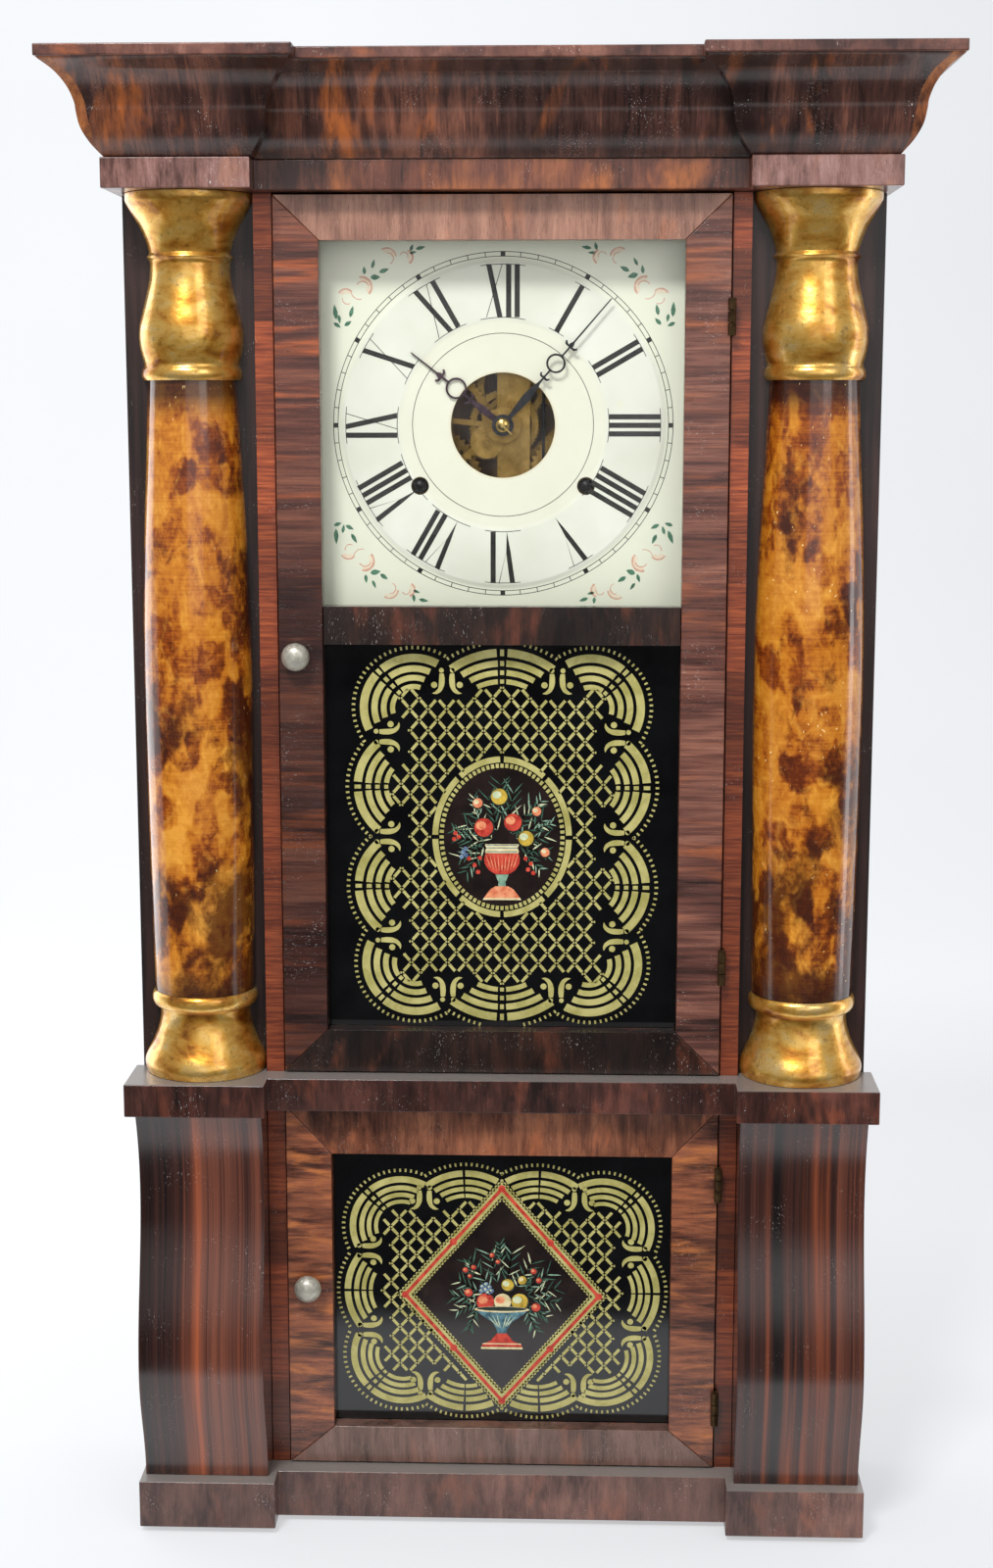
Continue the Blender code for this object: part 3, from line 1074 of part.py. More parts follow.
def gong():
    middle = at(GONG)
    steps = 16
    points = []
    for step in range(GONG_TURNS * steps + 1):
        angle = math.pi + 2 * math.pi * step / steps
        radius = GONG_RADIUS - GONG_PITCH * step / steps
        points.append((middle[0] + radius * math.cos(angle), HAMMER_Y, middle[1] + radius * math.sin(angle)))
    inner = points[-1]
    back = BACK_Y - BACK_THICK - GAP
    stand = box("gong", (inner[0] - GONG_BLOCK, HAMMER_Y - GONG_FOOT_THICK, inner[2] - GONG_BLOCK),
                (inner[0] + GONG_BLOCK, back, inner[2] + GONG_BLOCK), "iron", bevel=0.0008)
    fuse(stand, "gong_foot", box_mesh((inner[0] - GONG_FOOT_HALF, back - GONG_FOOT_THICK, inner[2] - GONG_FOOT_RISE),
                                      (inner[0] + GONG_FOOT_HALF, back, inner[2] + GONG_FOOT_RISE)), "iron")
    fuse(stand, "gong_wire", tube_mesh(points, GONG_WIRE), "steel")


def tube_mesh(points, radius):
    curve = bpy.data.curves.new("tube", "CURVE")
    curve.dimensions = "3D"
    curve.bevel_depth = radius
    curve.bevel_resolution = 1
    curve.use_fill_caps = True
    spline = curve.splines.new("POLY")
    spline.points.add(len(points) - 1)
    for point, place in zip(spline.points, points):
        point.co = (*place, 1.0)
    holder = bpy.data.objects.new("tube", curve)
    bpy.context.scene.collection.objects.link(holder)
    mesh = bpy.data.meshes.new_from_object(holder.evaluated_get(bpy.context.evaluated_depsgraph_get()))
    bpy.data.objects.remove(holder)
    bpy.data.curves.remove(curve)
    made = bmesh.new()
    made.from_mesh(mesh)
    bmesh.ops.remove_doubles(made, verts=made.verts, dist=0.00001)
    bmesh.ops.recalc_face_normals(made, faces=made.faces)
    made.to_mesh(mesh)
    made.free()
    return mesh


def weight_line():
    """Radius at which the cord's middle runs on drum and pulley."""
    return DRUM_RADIUS + CORD_RADIUS + GAP


def weights():
    floor = BOTTOM_RISE + BOARD_THICK + WEIGHT_REST_GAP
    line = weight_line()
    for kind, side, winding in (("time", 1, TIME_WINDING), ("strike", -1, STRIKE_WINDING)):
        pulley_x = side * PULLEY_X
        half = PULLEY_THICK / 2
        profile = [(0, -CORD_Y + PULLEY_THICK), (AXLE_RADIUS, -CORD_Y + PULLEY_THICK), (AXLE_RADIUS, -CORD_Y + half),
                   (PULLEY_RADIUS, -CORD_Y + half), (PULLEY_RADIUS, -CORD_Y + half * 0.6),
                   (DRUM_RADIUS, -CORD_Y + CORD_RADIUS), (DRUM_RADIUS, -CORD_Y - CORD_RADIUS),
                   (PULLEY_RADIUS, -CORD_Y - half * 0.6), (PULLEY_RADIUS, -CORD_Y - half),
                   (AXLE_RADIUS, -CORD_Y - half), (AXLE_RADIUS, -CORD_Y - PULLEY_THICK), (0, -CORD_Y - PULLEY_THICK)]
        turned(f"{kind}_pulley", profile, (pulley_x, 0, PULLEY_Z), "pulley_wood", DRUM_SECTORS, along="Y")

        hang_x = pulley_x + side * line
        low = (hang_x - WEIGHT_WIDTH / 2, CORD_Y - WEIGHT_DEPTH / 2, floor)
        high = (hang_x + WEIGHT_WIDTH / 2, CORD_Y + WEIGHT_DEPTH / 2, floor + WEIGHT_HEIGHT)
        weight = box(f"{kind}_weight", low, high, "iron", bevel=WEIGHT_CORNER)
        eye = (hang_x, high[2] + HOOK_RADIUS * 0.9)
        fuse(weight, f"{kind}_weight_eye", prism_mesh([circle(eye, HOOK_RADIUS + HOOK_WIRE),
                                                       circle(eye, HOOK_RADIUS - HOOK_WIRE)],
                                                      CORD_Y - HOOK_WIRE, CORD_Y + HOOK_WIRE, "XZ"), "iron")

        drum_x, drum_z = at(winding)
        run = Vector((pulley_x - drum_x, PULLEY_Z - drum_z)).normalized()
        normal = Vector((-run.y * side, run.x * side))
        start = Vector((drum_x, drum_z)) + normal * line
        points = [(start.x, CORD_Y, start.y)]
        first = math.atan2(normal.y, normal.x)
        last = 0.0 if side == 1 else math.pi
        turns = 8
        for step in range(turns + 1):
            angle = first + (last - first) * step / turns
            points.append((pulley_x + line * math.cos(angle), CORD_Y, PULLEY_Z + line * math.sin(angle)))
        points.append((hang_x, CORD_Y, eye[1] + HOOK_RADIUS + HOOK_WIRE + GAP))
        placed(f"{kind}_cord", tube_mesh(points, CORD_RADIUS), "cord")


dial()
going_train()
motion_work()
striking_train()
drums()
movement_frame()
escapement()
pendulum()
carriers()
gong()
weights()


# Origins: every moving piece's origin goes on the axis that it turns about
def on_axis(names, point):
    for name in names:
        body = parts.objects[name]
        offset = Vector(point) - body.location
        body.data.transform(Matrix.Translation(-offset))
        body.location = point


def upright(place):
    across, up = at(place)
    return across, 0, up


hinge_line = (HINGE_X, HINGE_Y, 0)
for level in ("upper", "lower"):
    leaves = [f"{level}_door_{end}_hinge_door_leaf" for end in ("top", "low")]
    on_axis([f"{level}_door_frame"] + leaves, hinge_line)
on_axis(("upper_tablet", "dial_glass", "lower_tablet"), hinge_line)
on_axis(("minute_hand", "hour_hand", "hour_wheel"), upright(CENTRE))
on_axis(["motion_wheel"], upright(MOTION))
on_axis(["time_great_wheel"], upright(TIME_WINDING))
on_axis(["strike_great_wheel"], upright(STRIKE_WINDING))
on_axis(["pendulum_rod"], upright((ESCAPE[0], SUSPENSION_Z)))
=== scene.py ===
from collections import defaultdict
from itertools import groupby
import math
import random

import bmesh
import bpy
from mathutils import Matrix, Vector


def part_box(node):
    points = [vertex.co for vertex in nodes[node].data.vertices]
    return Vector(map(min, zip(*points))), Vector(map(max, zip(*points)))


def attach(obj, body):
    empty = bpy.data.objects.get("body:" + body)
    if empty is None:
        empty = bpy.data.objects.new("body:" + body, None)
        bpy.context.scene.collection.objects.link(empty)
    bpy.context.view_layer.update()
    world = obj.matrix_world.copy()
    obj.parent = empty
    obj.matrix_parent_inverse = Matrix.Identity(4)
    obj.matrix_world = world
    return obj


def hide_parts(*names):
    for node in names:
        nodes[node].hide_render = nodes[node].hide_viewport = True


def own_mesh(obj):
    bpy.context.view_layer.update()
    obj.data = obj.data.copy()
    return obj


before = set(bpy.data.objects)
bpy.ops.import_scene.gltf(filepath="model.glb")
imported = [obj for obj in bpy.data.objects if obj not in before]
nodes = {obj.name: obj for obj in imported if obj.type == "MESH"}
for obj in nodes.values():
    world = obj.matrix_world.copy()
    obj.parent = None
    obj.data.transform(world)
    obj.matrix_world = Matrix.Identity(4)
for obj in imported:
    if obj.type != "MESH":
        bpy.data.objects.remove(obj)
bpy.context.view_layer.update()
scene = bpy.context.scene
looks = {}


# Camera: fitted to the photograph's outline
camera_data = bpy.data.cameras.new("camera")
camera_data.lens = 52.79
camera_data.sensor_width = 36.0
camera_data.clip_start = 0.05
camera = bpy.data.objects.new("camera", camera_data)
camera.location = (0.0411, -1.2797, 0.6448)
camera.rotation_euler = (math.radians(90 - 9.375), 0, math.radians(1.976))
scene.collection.objects.link(camera)
scene.camera = camera


# Colours are written as they look on screen
def rgb(code):
    channels = [int(code[start:start + 2], 16) / 255 for start in (0, 2, 4)]
    return tuple(c / 12.92 if c <= 0.04045 else ((c + 0.055) / 1.055) ** 2.4 for c in channels) + (1.0,)


class Shader:
    """A Principled material wired up with short calls, most of which give back an output socket.
    Its textures start at one place unless a call names another."""

    def __init__(self, name, start=(0, 0, 0), **constants):
        self.name = name
        self.material = bpy.data.materials.new(name)
        self.material.use_nodes = True
        self.tree = self.material.node_tree
        self.surface = self.tree.nodes["Principled BSDF"]
        self.place = self.tree.nodes.new("ShaderNodeTexCoord").outputs["Object"]
        self.start = start
        self.feed(self.surface, constants)

    def feed(self, made, inputs):
        """Links sockets and sets constants. A text value is a colour, and _ in a name stands for a space."""
        for key, value in inputs.items():
            socket = made.inputs[key.replace("_", " ") if isinstance(key, str) else key]
            if isinstance(value, bpy.types.NodeSocket):
                self.tree.links.new(value, socket)
            else:
                socket.default_value = rgb(value) if isinstance(value, str) else value

    def node(self, kind, inputs=(), **settings):
        made = self.tree.nodes.new(kind)
        for key, value in settings.items():
            setattr(made, key, value)
        self.feed(made, dict(inputs))
        return made

    def math(self, operation, first, second=0.0, clamp=False):
        return self.node("ShaderNodeMath", {0: first, 1: second}, operation=operation,
                         use_clamp=clamp).outputs[0]

    def times(self, first, *others, clamp=False):
        """The product of the values."""
        for value in others:
            first = self.math("MULTIPLY", first, value, clamp)
        return first

    def weighed(self, total, *parts):
        """The base value plus each (value, weight) pair."""
        for value, weight in parts:
            total = self.node("ShaderNodeMath", {0: value, 1: weight, 2: total},
                              operation="MULTIPLY_ADD").outputs[0]
        return total

    def scaled(self, size, start=None, turn=(0, 0, 0)):
        """Coordinates in which a feature of this size, in metres, is 1 across.
        A size is one number, (across, up) or all three."""
        size = (size, size) if isinstance(size, float) else size
        size = (size[0], *size) if len(size) == 2 else size
        return self.node("ShaderNodeMapping", {"Vector": self.place, "Scale": [1 / s for s in size],
                                               "Location": start or self.start, "Rotation": turn}).outputs[0]

    def noise(self, size, detail=3.0, roughness=0.55, distortion=0.0, **placing):
        """Noise with features of this size, in metres."""
        inputs = {"Vector": self.scaled(size, **placing), "Scale": 1.0, "Detail": detail,
                  "Roughness": roughness, "Distortion": distortion}
        return self.node("ShaderNodeTexNoise", inputs).outputs["Fac"]

    def between(self, value, low, high, out_low=0.0, out_high=1.0, **settings):
        inputs = {"Value": value, "From Min": low, "From Max": high, "To Min": out_low, "To Max": out_high}
        return self.node("ShaderNodeMapRange", inputs, **settings).outputs[0]

    def spread(self, noise, low, high):
        """Levels from low to high over the middle of a noise, where most of it lies."""
        return self.between(noise, 0.3, 0.7, low, high)

    def axis(self, name, source=None):
        return self.node("ShaderNodeSeparateXYZ", {0: source or self.place}).outputs[name]

    def even(self, value):
        """The same value on all three axes."""
        return self.node("ShaderNodeCombineXYZ", {0: value, 1: value, 2: value}).outputs[0]

    def ramp(self, value, *stops):
        made = self.node("ShaderNodeValToRGB", {0: value})
        elements = made.color_ramp.elements
        while len(elements) < len(stops):
            elements.new(0.5)
        for element, (position, code) in zip(elements, stops):
            element.position = position
            element.color = rgb(code)
        return made.outputs["Color"]

    def mix(self, share, first, second, blend="MIX"):
        return self.node("ShaderNodeMix", {0: share, 6: first, 7: second}, data_type="RGBA",
                         blend_type=blend).outputs[2]

    def over(self, colour, code, *shares):
        """A colour with another laid over it, by the product of the shares."""
        return self.mix(self.times(*shares), colour, code)

    def dimmed(self, colour, level):
        return self.mix(1.0, colour, self.even(level), "MULTIPLY")

    def blocks(self, axis, per_metre, low, high):
        """A level of its own for each of the blocks that follow one another along an axis."""
        cell = self.node("ShaderNodeTexVoronoi", {"W": self.times(self.axis(axis), per_metre), "Scale": 1.0},
                         voronoi_dimensions="1D").outputs["Color"]
        return self.between(self.axis("X", cell), 0, 1, low, high)

    def dashes(self, grain, offset):
        """Short chips along the grain, gathered in clusters."""
        size = [0.00040] * 3
        size["XYZ".index(grain)] = 0.0018
        ticks = self.between(self.noise(size, 1, 0.5, start=(7.7 + offset, 0, 0)), 0.70, 0.74)
        clusters = self.noise(0.022, 2, start=(1.3 + offset, 0, 0))
        return self.times(ticks, self.between(clusters, 0.52, 0.66))

    def bump(self, height, distance):
        inputs = {"Height": height, "Distance": distance, "Strength": 1.0}
        return self.node("ShaderNodeBump", inputs).outputs[0]

    def done(self, colour, roughness, normal=None, **others):
        """Wires up the surface and files the material under the name asked for."""
        values = {"Base_Color": colour, "Roughness": roughness, "Normal": normal, **others}
        self.feed(self.surface, {key: value for key, value in values.items() if value is not None})
        looks[self.name] = self.material
        return self.material


# Materials: veneers
def veneer(name, grain, length, width, colours, offset=0.0, patched=0.4, contrast=1.0, specks=0.4, gloss=0.30,
           coat=0.45, segment=0.0, bent=False, dusty=False, shade=None, joint_shade_and_dirt=None):
    """Varnished veneer whose grain runs along one axis. Streaks measure length by width, in metres.
    Colours are dark, body, light and patch. A segment is the width of one crossbanded block.
    Bent veneer keeps its streaks upright round a curved front. Dusty veneer is grey where it faces up.
    Shade is (height, height, darkness): painted shade lower down.
    The last argument is four distances from the middle: clean, dark, dark, clean, for painted shade and dirt
    beside the joints."""
    shader = Shader(name, (offset, offset * 1.7, offset * 0.6), Coat_Weight=coat, Coat_Roughness=0.20,
                    Specular_IOR_Level=0.45)
    dark, body, light, patch = colours.split()

    def grained(long, across, *settings, shift=0.0):
        size = [across * width] * 3
        size["XYZ".index(grain)] = long * length
        if bent:
            size[1] = long * length
        return shader.noise(size, *settings, start=[value + shift for value in shader.start])

    zones = grained(2.5, 7, 2, 0.5, 0.5)
    streaks = grained(1, 1, 4, 0.62, 0.35)
    fine = grained(0.7, 0.17, 3, 0.6, 0.2)
    tone = shader.weighed(0.5 - contrast, (zones, 0.85 * contrast), (streaks, 0.8 * contrast),
                          (fine, 0.35 * contrast))
    colour = shader.ramp(tone, (0.26, dark), (0.50, body), (0.74, light))
    patches = shader.between(grained(1.6, 3.2, 3, 0.55, 0.6, shift=3.1), 0.54, 0.68)
    patches = shader.times(patches, shader.between(streaks, 0.38, 0.58, 0.15, patched * 1.6), clamp=True)
    colour = shader.mix(patches, colour, patch)
    if segment:
        colour = shader.dimmed(colour, shader.blocks("X", 1 / segment, 0.70, 1.22))
    # Painted shade: the veneer darkens below the given heights
    if shade:
        colour = shader.mix(shader.between(shader.axis("Z"), *shade[:2], 0.0, shade[2]), colour, "1A0C0A")
    # Painted shade and dirt: a dark band on either side of the middle, where the front steps back at the
    # joints
    if joint_shade_and_dirt:
        aside = shader.math("ABSOLUTE", shader.axis("X"))
        colour = shader.over(colour, "140A08", shader.between(aside, *joint_shade_and_dirt[:2]),
                             shader.between(aside, *joint_shade_and_dirt[:1:-1]), 0.75)
    pores = shader.between(grained(0.12, 0.07, 2, 0.6), 0.60, 0.72)
    colour = shader.over(colour, "150909", pores, 0.5)
    chips = shader.times(shader.dashes(grain, offset), specks)
    colour = shader.mix(chips, colour, "CFC9C4")
    worn = shader.spread(shader.noise(0.05), gloss - 0.06, gloss + 0.12)
    relief = shader.weighed(0.0, (fine, 0.5), (pores, -1))
    if dusty:
        upward = shader.axis("Z", shader.node("ShaderNodeNewGeometry").outputs["Normal"])
        colour = shader.mix(shader.between(upward, 0.75, 0.98, 0.0, 0.72), colour, "8D8883")
    shader.done(colour, shader.weighed(0.0, (worn, 1), (chips, 0.4)), shader.bump(relief, 0.00006))


# Materials: columns, gilding, paint, glass and metal
def tortoiseshell(name, centre, offset, flecks):
    """Varnished amber graining: overlapping brush dabs with bright edges, dark clouds, lost flakes, painted
    shade at the right.
    """
    shader = Shader(name, (offset, offset * 2.3, offset * 0.7), Coat_Weight=0.75, Coat_Roughness=0.07,
                    Specular_IOR_Level=0.5)
    sway = shader.even(shader.noise((0.03, 0.04), 2, 0.45))

    def dabs(size, stir, shift):
        """A level for each dab, and the distance to the nearest edge between dabs."""
        place = shader.scaled(size, [value + shift for value in shader.start], (0.0, 0.15, 0.0))
        place = shader.node("ShaderNodeVectorMath", {0: sway, 1: (stir, stir, -stir), 2: place},
                            operation="MULTIPLY_ADD").outputs[0]
        cells = {"Vector": place, "Scale": 1.0, "Randomness": 0.8}
        soft = shader.node("ShaderNodeTexVoronoi", {**cells, "Smoothness": 0.30}, feature="SMOOTH_F1",
                           distance="CHEBYCHEV")
        edges = shader.node("ShaderNodeTexVoronoi", cells, feature="DISTANCE_TO_EDGE")
        return shader.axis("X", soft.outputs["Color"]), edges.outputs["Distance"]

    def rim(edge, reach, low, high):
        return shader.times(shader.between(edge, reach, 0.0), shader.between(wisps, low, high), clamp=True)

    big, big_edge = dabs((0.026, 0.036), 1.0, 0.0)
    small, small_edge = dabs((0.012, 0.020), 0.8, 4.0)
    wisps = shader.noise((0.010, 0.014), 3, 0.55, 1.2)
    brush = shader.noise((0.030, 0.001), 2, 0.5)
    clouds = shader.noise((0.040, 0.055), 3, 0.5, 0.6, turn=(0.2, 0.4, 0))
    grit = shader.noise((0.0034, 0.0044), 4, 0.65, 0.4)
    tone = shader.weighed(-0.30, (big, 0.20), (small, 0.28), (wisps, 0.32), (brush, 0.20), (clouds, 0.18),
                          (grit, 0.42))
    colour = shader.ramp(tone, (0.28, "5A240A"), (0.40, "86400E"), (0.50, "AC6416"), (0.60, "BC761F"),
                         (0.76, "D08F33"))
    rims = shader.math("MAXIMUM", rim(small_edge, 0.06, 0.50, 0.66), rim(big_edge, 0.05, 0.46, 0.64))
    colour = shader.over(colour, "DDA23E", rims, 0.32)
    height = shader.axis("Z")
    # More dark clouds towards the bottom, and painted shade: more dark clouds on the right side of the shaft
    low = shader.between(height, 0.47, 0.32, 0.0, 0.20)
    side = shader.between(shader.axis("X"), centre + 0.004, centre + 0.026, 0.0, 0.10)
    dark = shader.weighed(-0.20, (clouds, 1), (big, 0.14), (small, 0.12), (wisps, 0.20), (grit, 0.18),
                          (low, -1), (side, -1))
    colour = shader.over(colour, "34160B", shader.between(dark, 0.54, 0.37), 0.80)
    ends = shader.math("MAXIMUM", shader.between(height, 0.327, 0.311), shader.between(height, 0.636, 0.650))
    colour = shader.over(colour, "26110A", ends, 0.85)
    flakes = shader.between(shader.noise((0.0019, 0.0028), 2), 0.70, 0.73)
    near = shader.between(shader.noise((0.03, 0.05), 1, start=(0, offset, 3)), 0.50, 0.58, 0, flecks)
    colour = shader.over(colour, "F2D08A", flakes, near)
    worn = shader.spread(shader.noise((0.02, 0.05)), 0.12, 0.28)
    shader.done(colour, worn, shader.bump(shader.noise((0.010, 0.016), 2), 0.0003))


def gilding(name, offset):
    """Old gold leaf: bright and amber areas, with dirt gathered in patches."""
    shader = Shader(name, (offset, 0, offset * 3), Metallic=0.82, Coat_Weight=0.80, Coat_Roughness=0.07)
    tone = shader.noise((0.022, 0.012), 5, 0.6, 0.4)
    colour = shader.ramp(tone, (0.30, "8E4C10"), (0.43, "D89636"), (0.55, "F7C25F"), (0.74, "FFDF9C"))
    dirt = shader.between(shader.noise((0.0035, 0.003), 4, 0.65), 0.56, 0.72)
    colour = shader.over(colour, "5E3208", dirt, 0.5)
    shader.done(colour, shader.spread(tone, 0.38, 0.24), shader.bump(shader.noise(0.004, 4), 0.00016))


def mottled(name, first, second, size, roughness, spread=0.1, relief=0.0, **constants):
    """Two close colours in soft patches of this size, with roughness and relief that follow them."""
    shader = Shader(name, **constants)
    tone = shader.noise(size, 4, 0.6, 0.2)
    colour = shader.ramp(tone, (0.34, first), (0.66, second))
    normal = shader.bump(tone, relief) if relief else None
    shader.done(colour, shader.spread(tone, roughness - spread, roughness + spread), normal)


def glass_pane(name):
    """Thin clear glass: mirror-like in proportion to the angle of view, otherwise see-through."""
    shader = Shader(name, Metallic=1.0)
    facing = shader.node("ShaderNodeLayerWeight", {"Blend": 0.18}).outputs["Fresnel"]
    dust = shader.between(shader.noise(0.05, 4), 0.4, 0.8, 0.0, 0.02)
    shader.done("FFFFFF", 0.03, Alpha=shader.math("ADD", shader.times(facing, 0.6), dust))


def backing_wood(name):
    """Near-black column backing, turning to a strip of reddish crossbanded blocks beside the door."""
    strip_edge = 0.1351
    shader = Shader(name, Coat_Weight=0.3, Coat_Roughness=0.22)
    dark = shader.ramp(shader.noise((0.005, 0.11), 4, 0.6, 0.2), (0.35, "1A100E"), (0.65, "38221D"))
    across = shader.noise((0.03, 0.0013), 4, 0.65, 0.3)
    band = shader.ramp(across, (0.34, "521F0E"), (0.5, "763216"), (0.66, "92461F"))
    # Painted light: the crossbanded strip grows brighter higher up
    painted_light_higher = shader.between(shader.axis("Z"), 0.38, 0.60, 1.0, 1.35)
    band = shader.dimmed(band, shader.times(shader.blocks("Z", 26.0, 0.45, 1.15), painted_light_higher))
    inner = shader.math("LESS_THAN", shader.math("ABSOLUTE", shader.axis("X")), strip_edge)
    faded = shader.between(shader.axis("X"), -0.01, 0.01, 1.0, 0.92)
    colour = shader.over(dark, band, inner, faded)
    colour = shader.over(colour, "B9B2AC", shader.dashes("Z", 0.4), 0.5)
    shader.done(colour, 0.36, shader.bump(across, 0.00005))


veneer("cornice_side", "Z", 0.040, 0.0080, "1A0E0C 472C25 7C4C3A A85A24", patched=0.60, contrast=1.1,
       specks=1.0, gloss=0.22, bent=True, joint_shade_and_dirt=(0.104, 0.124, 0.131, 0.140))
veneer("cornice_top", "Z", 0.014, 0.0100, "321712 5E362B 825444 9A5228", 1.0, specks=1.0, gloss=0.32)
veneer("core_dark", "Z", 0.020, 0.0030, "4A2410 8A4A1E B8702E C07A34", 11.0, specks=0.0, gloss=0.45)
# The frieze end blocks: their veneer greyed pink by a painted sheen
veneer("block", "Z", 0.018, 0.0042, "4A2C26 7C564E 97716A A06A4C", 2.0, patched=0.3, specks=0.7)
veneer("frieze", "Z", 0.040, 0.0110, "301812 633628 8C5233 A8602C", 2.6, patched=0.6, specks=0.5)
veneer("dusty_shelf", "Z", 0.024, 0.0060, "1D0E0B 40211A 60352A 7E3E24", 2.9, patched=0.35, specks=0.6,
       segment=0.085, dusty=True)
veneer("dusty_plinth", "Z", 0.018, 0.0050, "3A211B 604037 775246 824A32", 3.4, patched=0.3, specks=0.6,
       segment=0.085, dusty=True)
# The left stile gets painted shade below its upper part
veneer("left_stile", "X", 0.070, 0.0034, "27130F 5A3026 8C543E AC5526", 3.0, patched=0.5, contrast=0.95,
       specks=0.55, gloss=0.27, shade=(0.64, 0.54, 0.6))
veneer("right_stile", "X", 0.070, 0.0038, "2A1612 60382E 8E5C4A A0562E", 3.7, contrast=1.1, specks=0.55,
       gloss=0.27)
# The upper door's top rail: pale veneer, made paler still by a painted sheen
veneer("pale_rail", "Z", 0.040, 0.0060, "5A3A2E 8A6150 AA7C66 AC6640", 4.0)
veneer("dark_rail", "Z", 0.030, 0.0060, "120A09 24150F 3C2218 6A3420", 4.7, patched=0.35, specks=0.6,
       gloss=0.28)
# The lower door's bottom rail: its veneer greyed by a painted sheen
veneer("grey_rail", "Z", 0.040, 0.0060, "3E2C27 64493F 7E6056 84503A", 4.2, gloss=0.28)
veneer("warm_rail", "Z", 0.030, 0.0075, "361B13 673B28 90583B A45A34", 4.4, patched=0.5, gloss=0.28)
veneer("warm_stile", "X", 0.026, 0.0030, "301610 6A3A27 965636 AE6634", 5.0, patched=0.6, contrast=1.25,
       specks=0.35, gloss=0.24)
veneer("ogee", "Z", 0.800, 0.0064, "120908 3A1D16 6E3C2A A04E28", 6.0, patched=0.5, contrast=1.3, specks=0.45,
       gloss=0.17, coat=0.9, bent=True)
veneer("case_side", "Z", 0.120, 0.0120, "1E100C 35190F 4E2817 A8501F", 7.0, patched=0.1, specks=0.1,
       gloss=0.4)
veneer("pine", "Z", 0.180, 0.0070, "8A5E34 A87B48 BF9560 8F6236", 8.0, patched=0.2, specks=0.0, gloss=0.6)
veneer("pine_across", "X", 0.180, 0.0070, "7E552F 9C7142 B58B58 8F6236", 9.0, patched=0.2, specks=0.0,
       gloss=0.6)
veneer("turned_wood", "Z", 0.020, 0.0030, "5A381E 77502E 8F6740 A8501F", 10.0, patched=0.1, specks=0.0,
       gloss=0.5)
backing_wood("backing")
tortoiseshell("left_shell", -0.171, 1.3, 0.4)
tortoiseshell("right_shell", 0.171, 4.1, 1.0)
gilding("gold", 0.4)
glass_pane("clear")
mottled("cord", "8E7C5A", "B9A880", (0.0012, 0.0024), 0.8, relief=0.0002)
mottled("black_paint", "1A1A18", "2B2A26", 0.006, 0.35)
mottled("leaf", "2A5C42", "56886A", 0.0025, 0.45)
mottled("petal_edge", "C48E76", "D8B49C", 0.003, 0.45)
mottled("petal_blush", "E0C8AE", "DDD8C0", 0.003, 0.45)
mottled("tablet", "020203", "08090A", 0.03, 0.10, 0.03, Specular_IOR_Level=0.85)
mottled("tablet_ground", "150F0E", "241A18", 0.02, 0.12, 0.03, Specular_IOR_Level=0.75)
mottled("stencil", "958E4E", "B4AC6C", 0.012, 0.28, 0.06, Coat_Weight=0.3, Coat_Roughness=0.08)
for colour, first, second, size, roughness in (
        ("green", "234436", "3F6B54", 0.003, 0.35), ("sage", "5B7F6B", "8FAE93", 0.003, 0.35),
        ("pale", "A9B894", "CFCFA4", 0.003, 0.35), ("red", "98231A", "C8442F", 0.004, 0.30),
        ("orange", "C26240", "DE9468", 0.003, 0.32), ("yellow", "8E7420", "C9A938", 0.005, 0.32),
        ("cream", "BFAF80", "DDD0A4", 0.004, 0.32), ("teal", "2C4C58", "57808A", 0.003, 0.32),
        ("blue", "3A5070", "7C93A8", 0.003, 0.32), ("shadow", "16201A", "25322A", 0.003, 0.35)):
    mottled(f"painted_{colour}", first, second, size, roughness)
mottled("steel", "2C2D30", "46464A", 0.006, 0.34, Metallic=0.85)
mottled("blued", "3A2A33", "57424C", 0.008, 0.32, Metallic=0.7)
mottled("brass", "967638", "C6A25C", 0.008, 0.34, relief=0.00004, Metallic=0.9)
mottled("dark_brass", "3B2B18", "5A452A", 0.005, 0.5, Metallic=0.8)
mottled("bright_brass", "C9A656", "E2C67E", 0.003, 0.22, Metallic=1.0)
mottled("pewter", "A4A094", "C6C2B4", 0.004, 0.42, 0.06, relief=0.0001, Metallic=0.6)
mottled("black_iron", "0B0A0A", "1B1917", 0.004, 0.4, Metallic=0.4)
mottled("iron", "1D1B1A", "363230", 0.007, 0.7, relief=0.0004, Metallic=0.5)


# Mesh helpers
def smooth_object(name, made):
    """A bmesh as an object of the scene, shaded smooth."""
    for face in made.faces:
        face.smooth = True
    mesh = bpy.data.meshes.new(name)
    made.to_mesh(mesh)
    made.free()
    shown = bpy.data.objects.new(name, mesh)
    scene.collection.objects.link(shown)
    return shown


def piece(name, made, look, body, replaced=(), sharp=35.0, bevel=0.0):
    """A bmesh as a finished piece that rides on a CAD body. Several looks are given as a tuple."""
    bmesh.ops.recalc_face_normals(made, faces=made.faces)
    for edge in made.edges:
        edge.smooth = not edge.is_manifold or edge.calc_face_angle(0) < math.radians(sharp)
    shown = smooth_object(name, made)
    for each in [look] if isinstance(look, str) else look:
        shown.data.materials.append(looks[each])
    if bevel:
        softened = shown.modifiers.new("edges", "BEVEL")
        softened.width = bevel
        softened.segments = 2
        softened.limit_method = "ANGLE"
        softened.harden_normals = True
    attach(shown, body)
    if replaced:
        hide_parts(*replaced)
    return shown


def dress(look, *names):
    """Gives CAD nodes that are shown as they are a finished material."""
    for name in names:
        nodes[name].data.materials.clear()
        nodes[name].data.materials.append(looks[look])


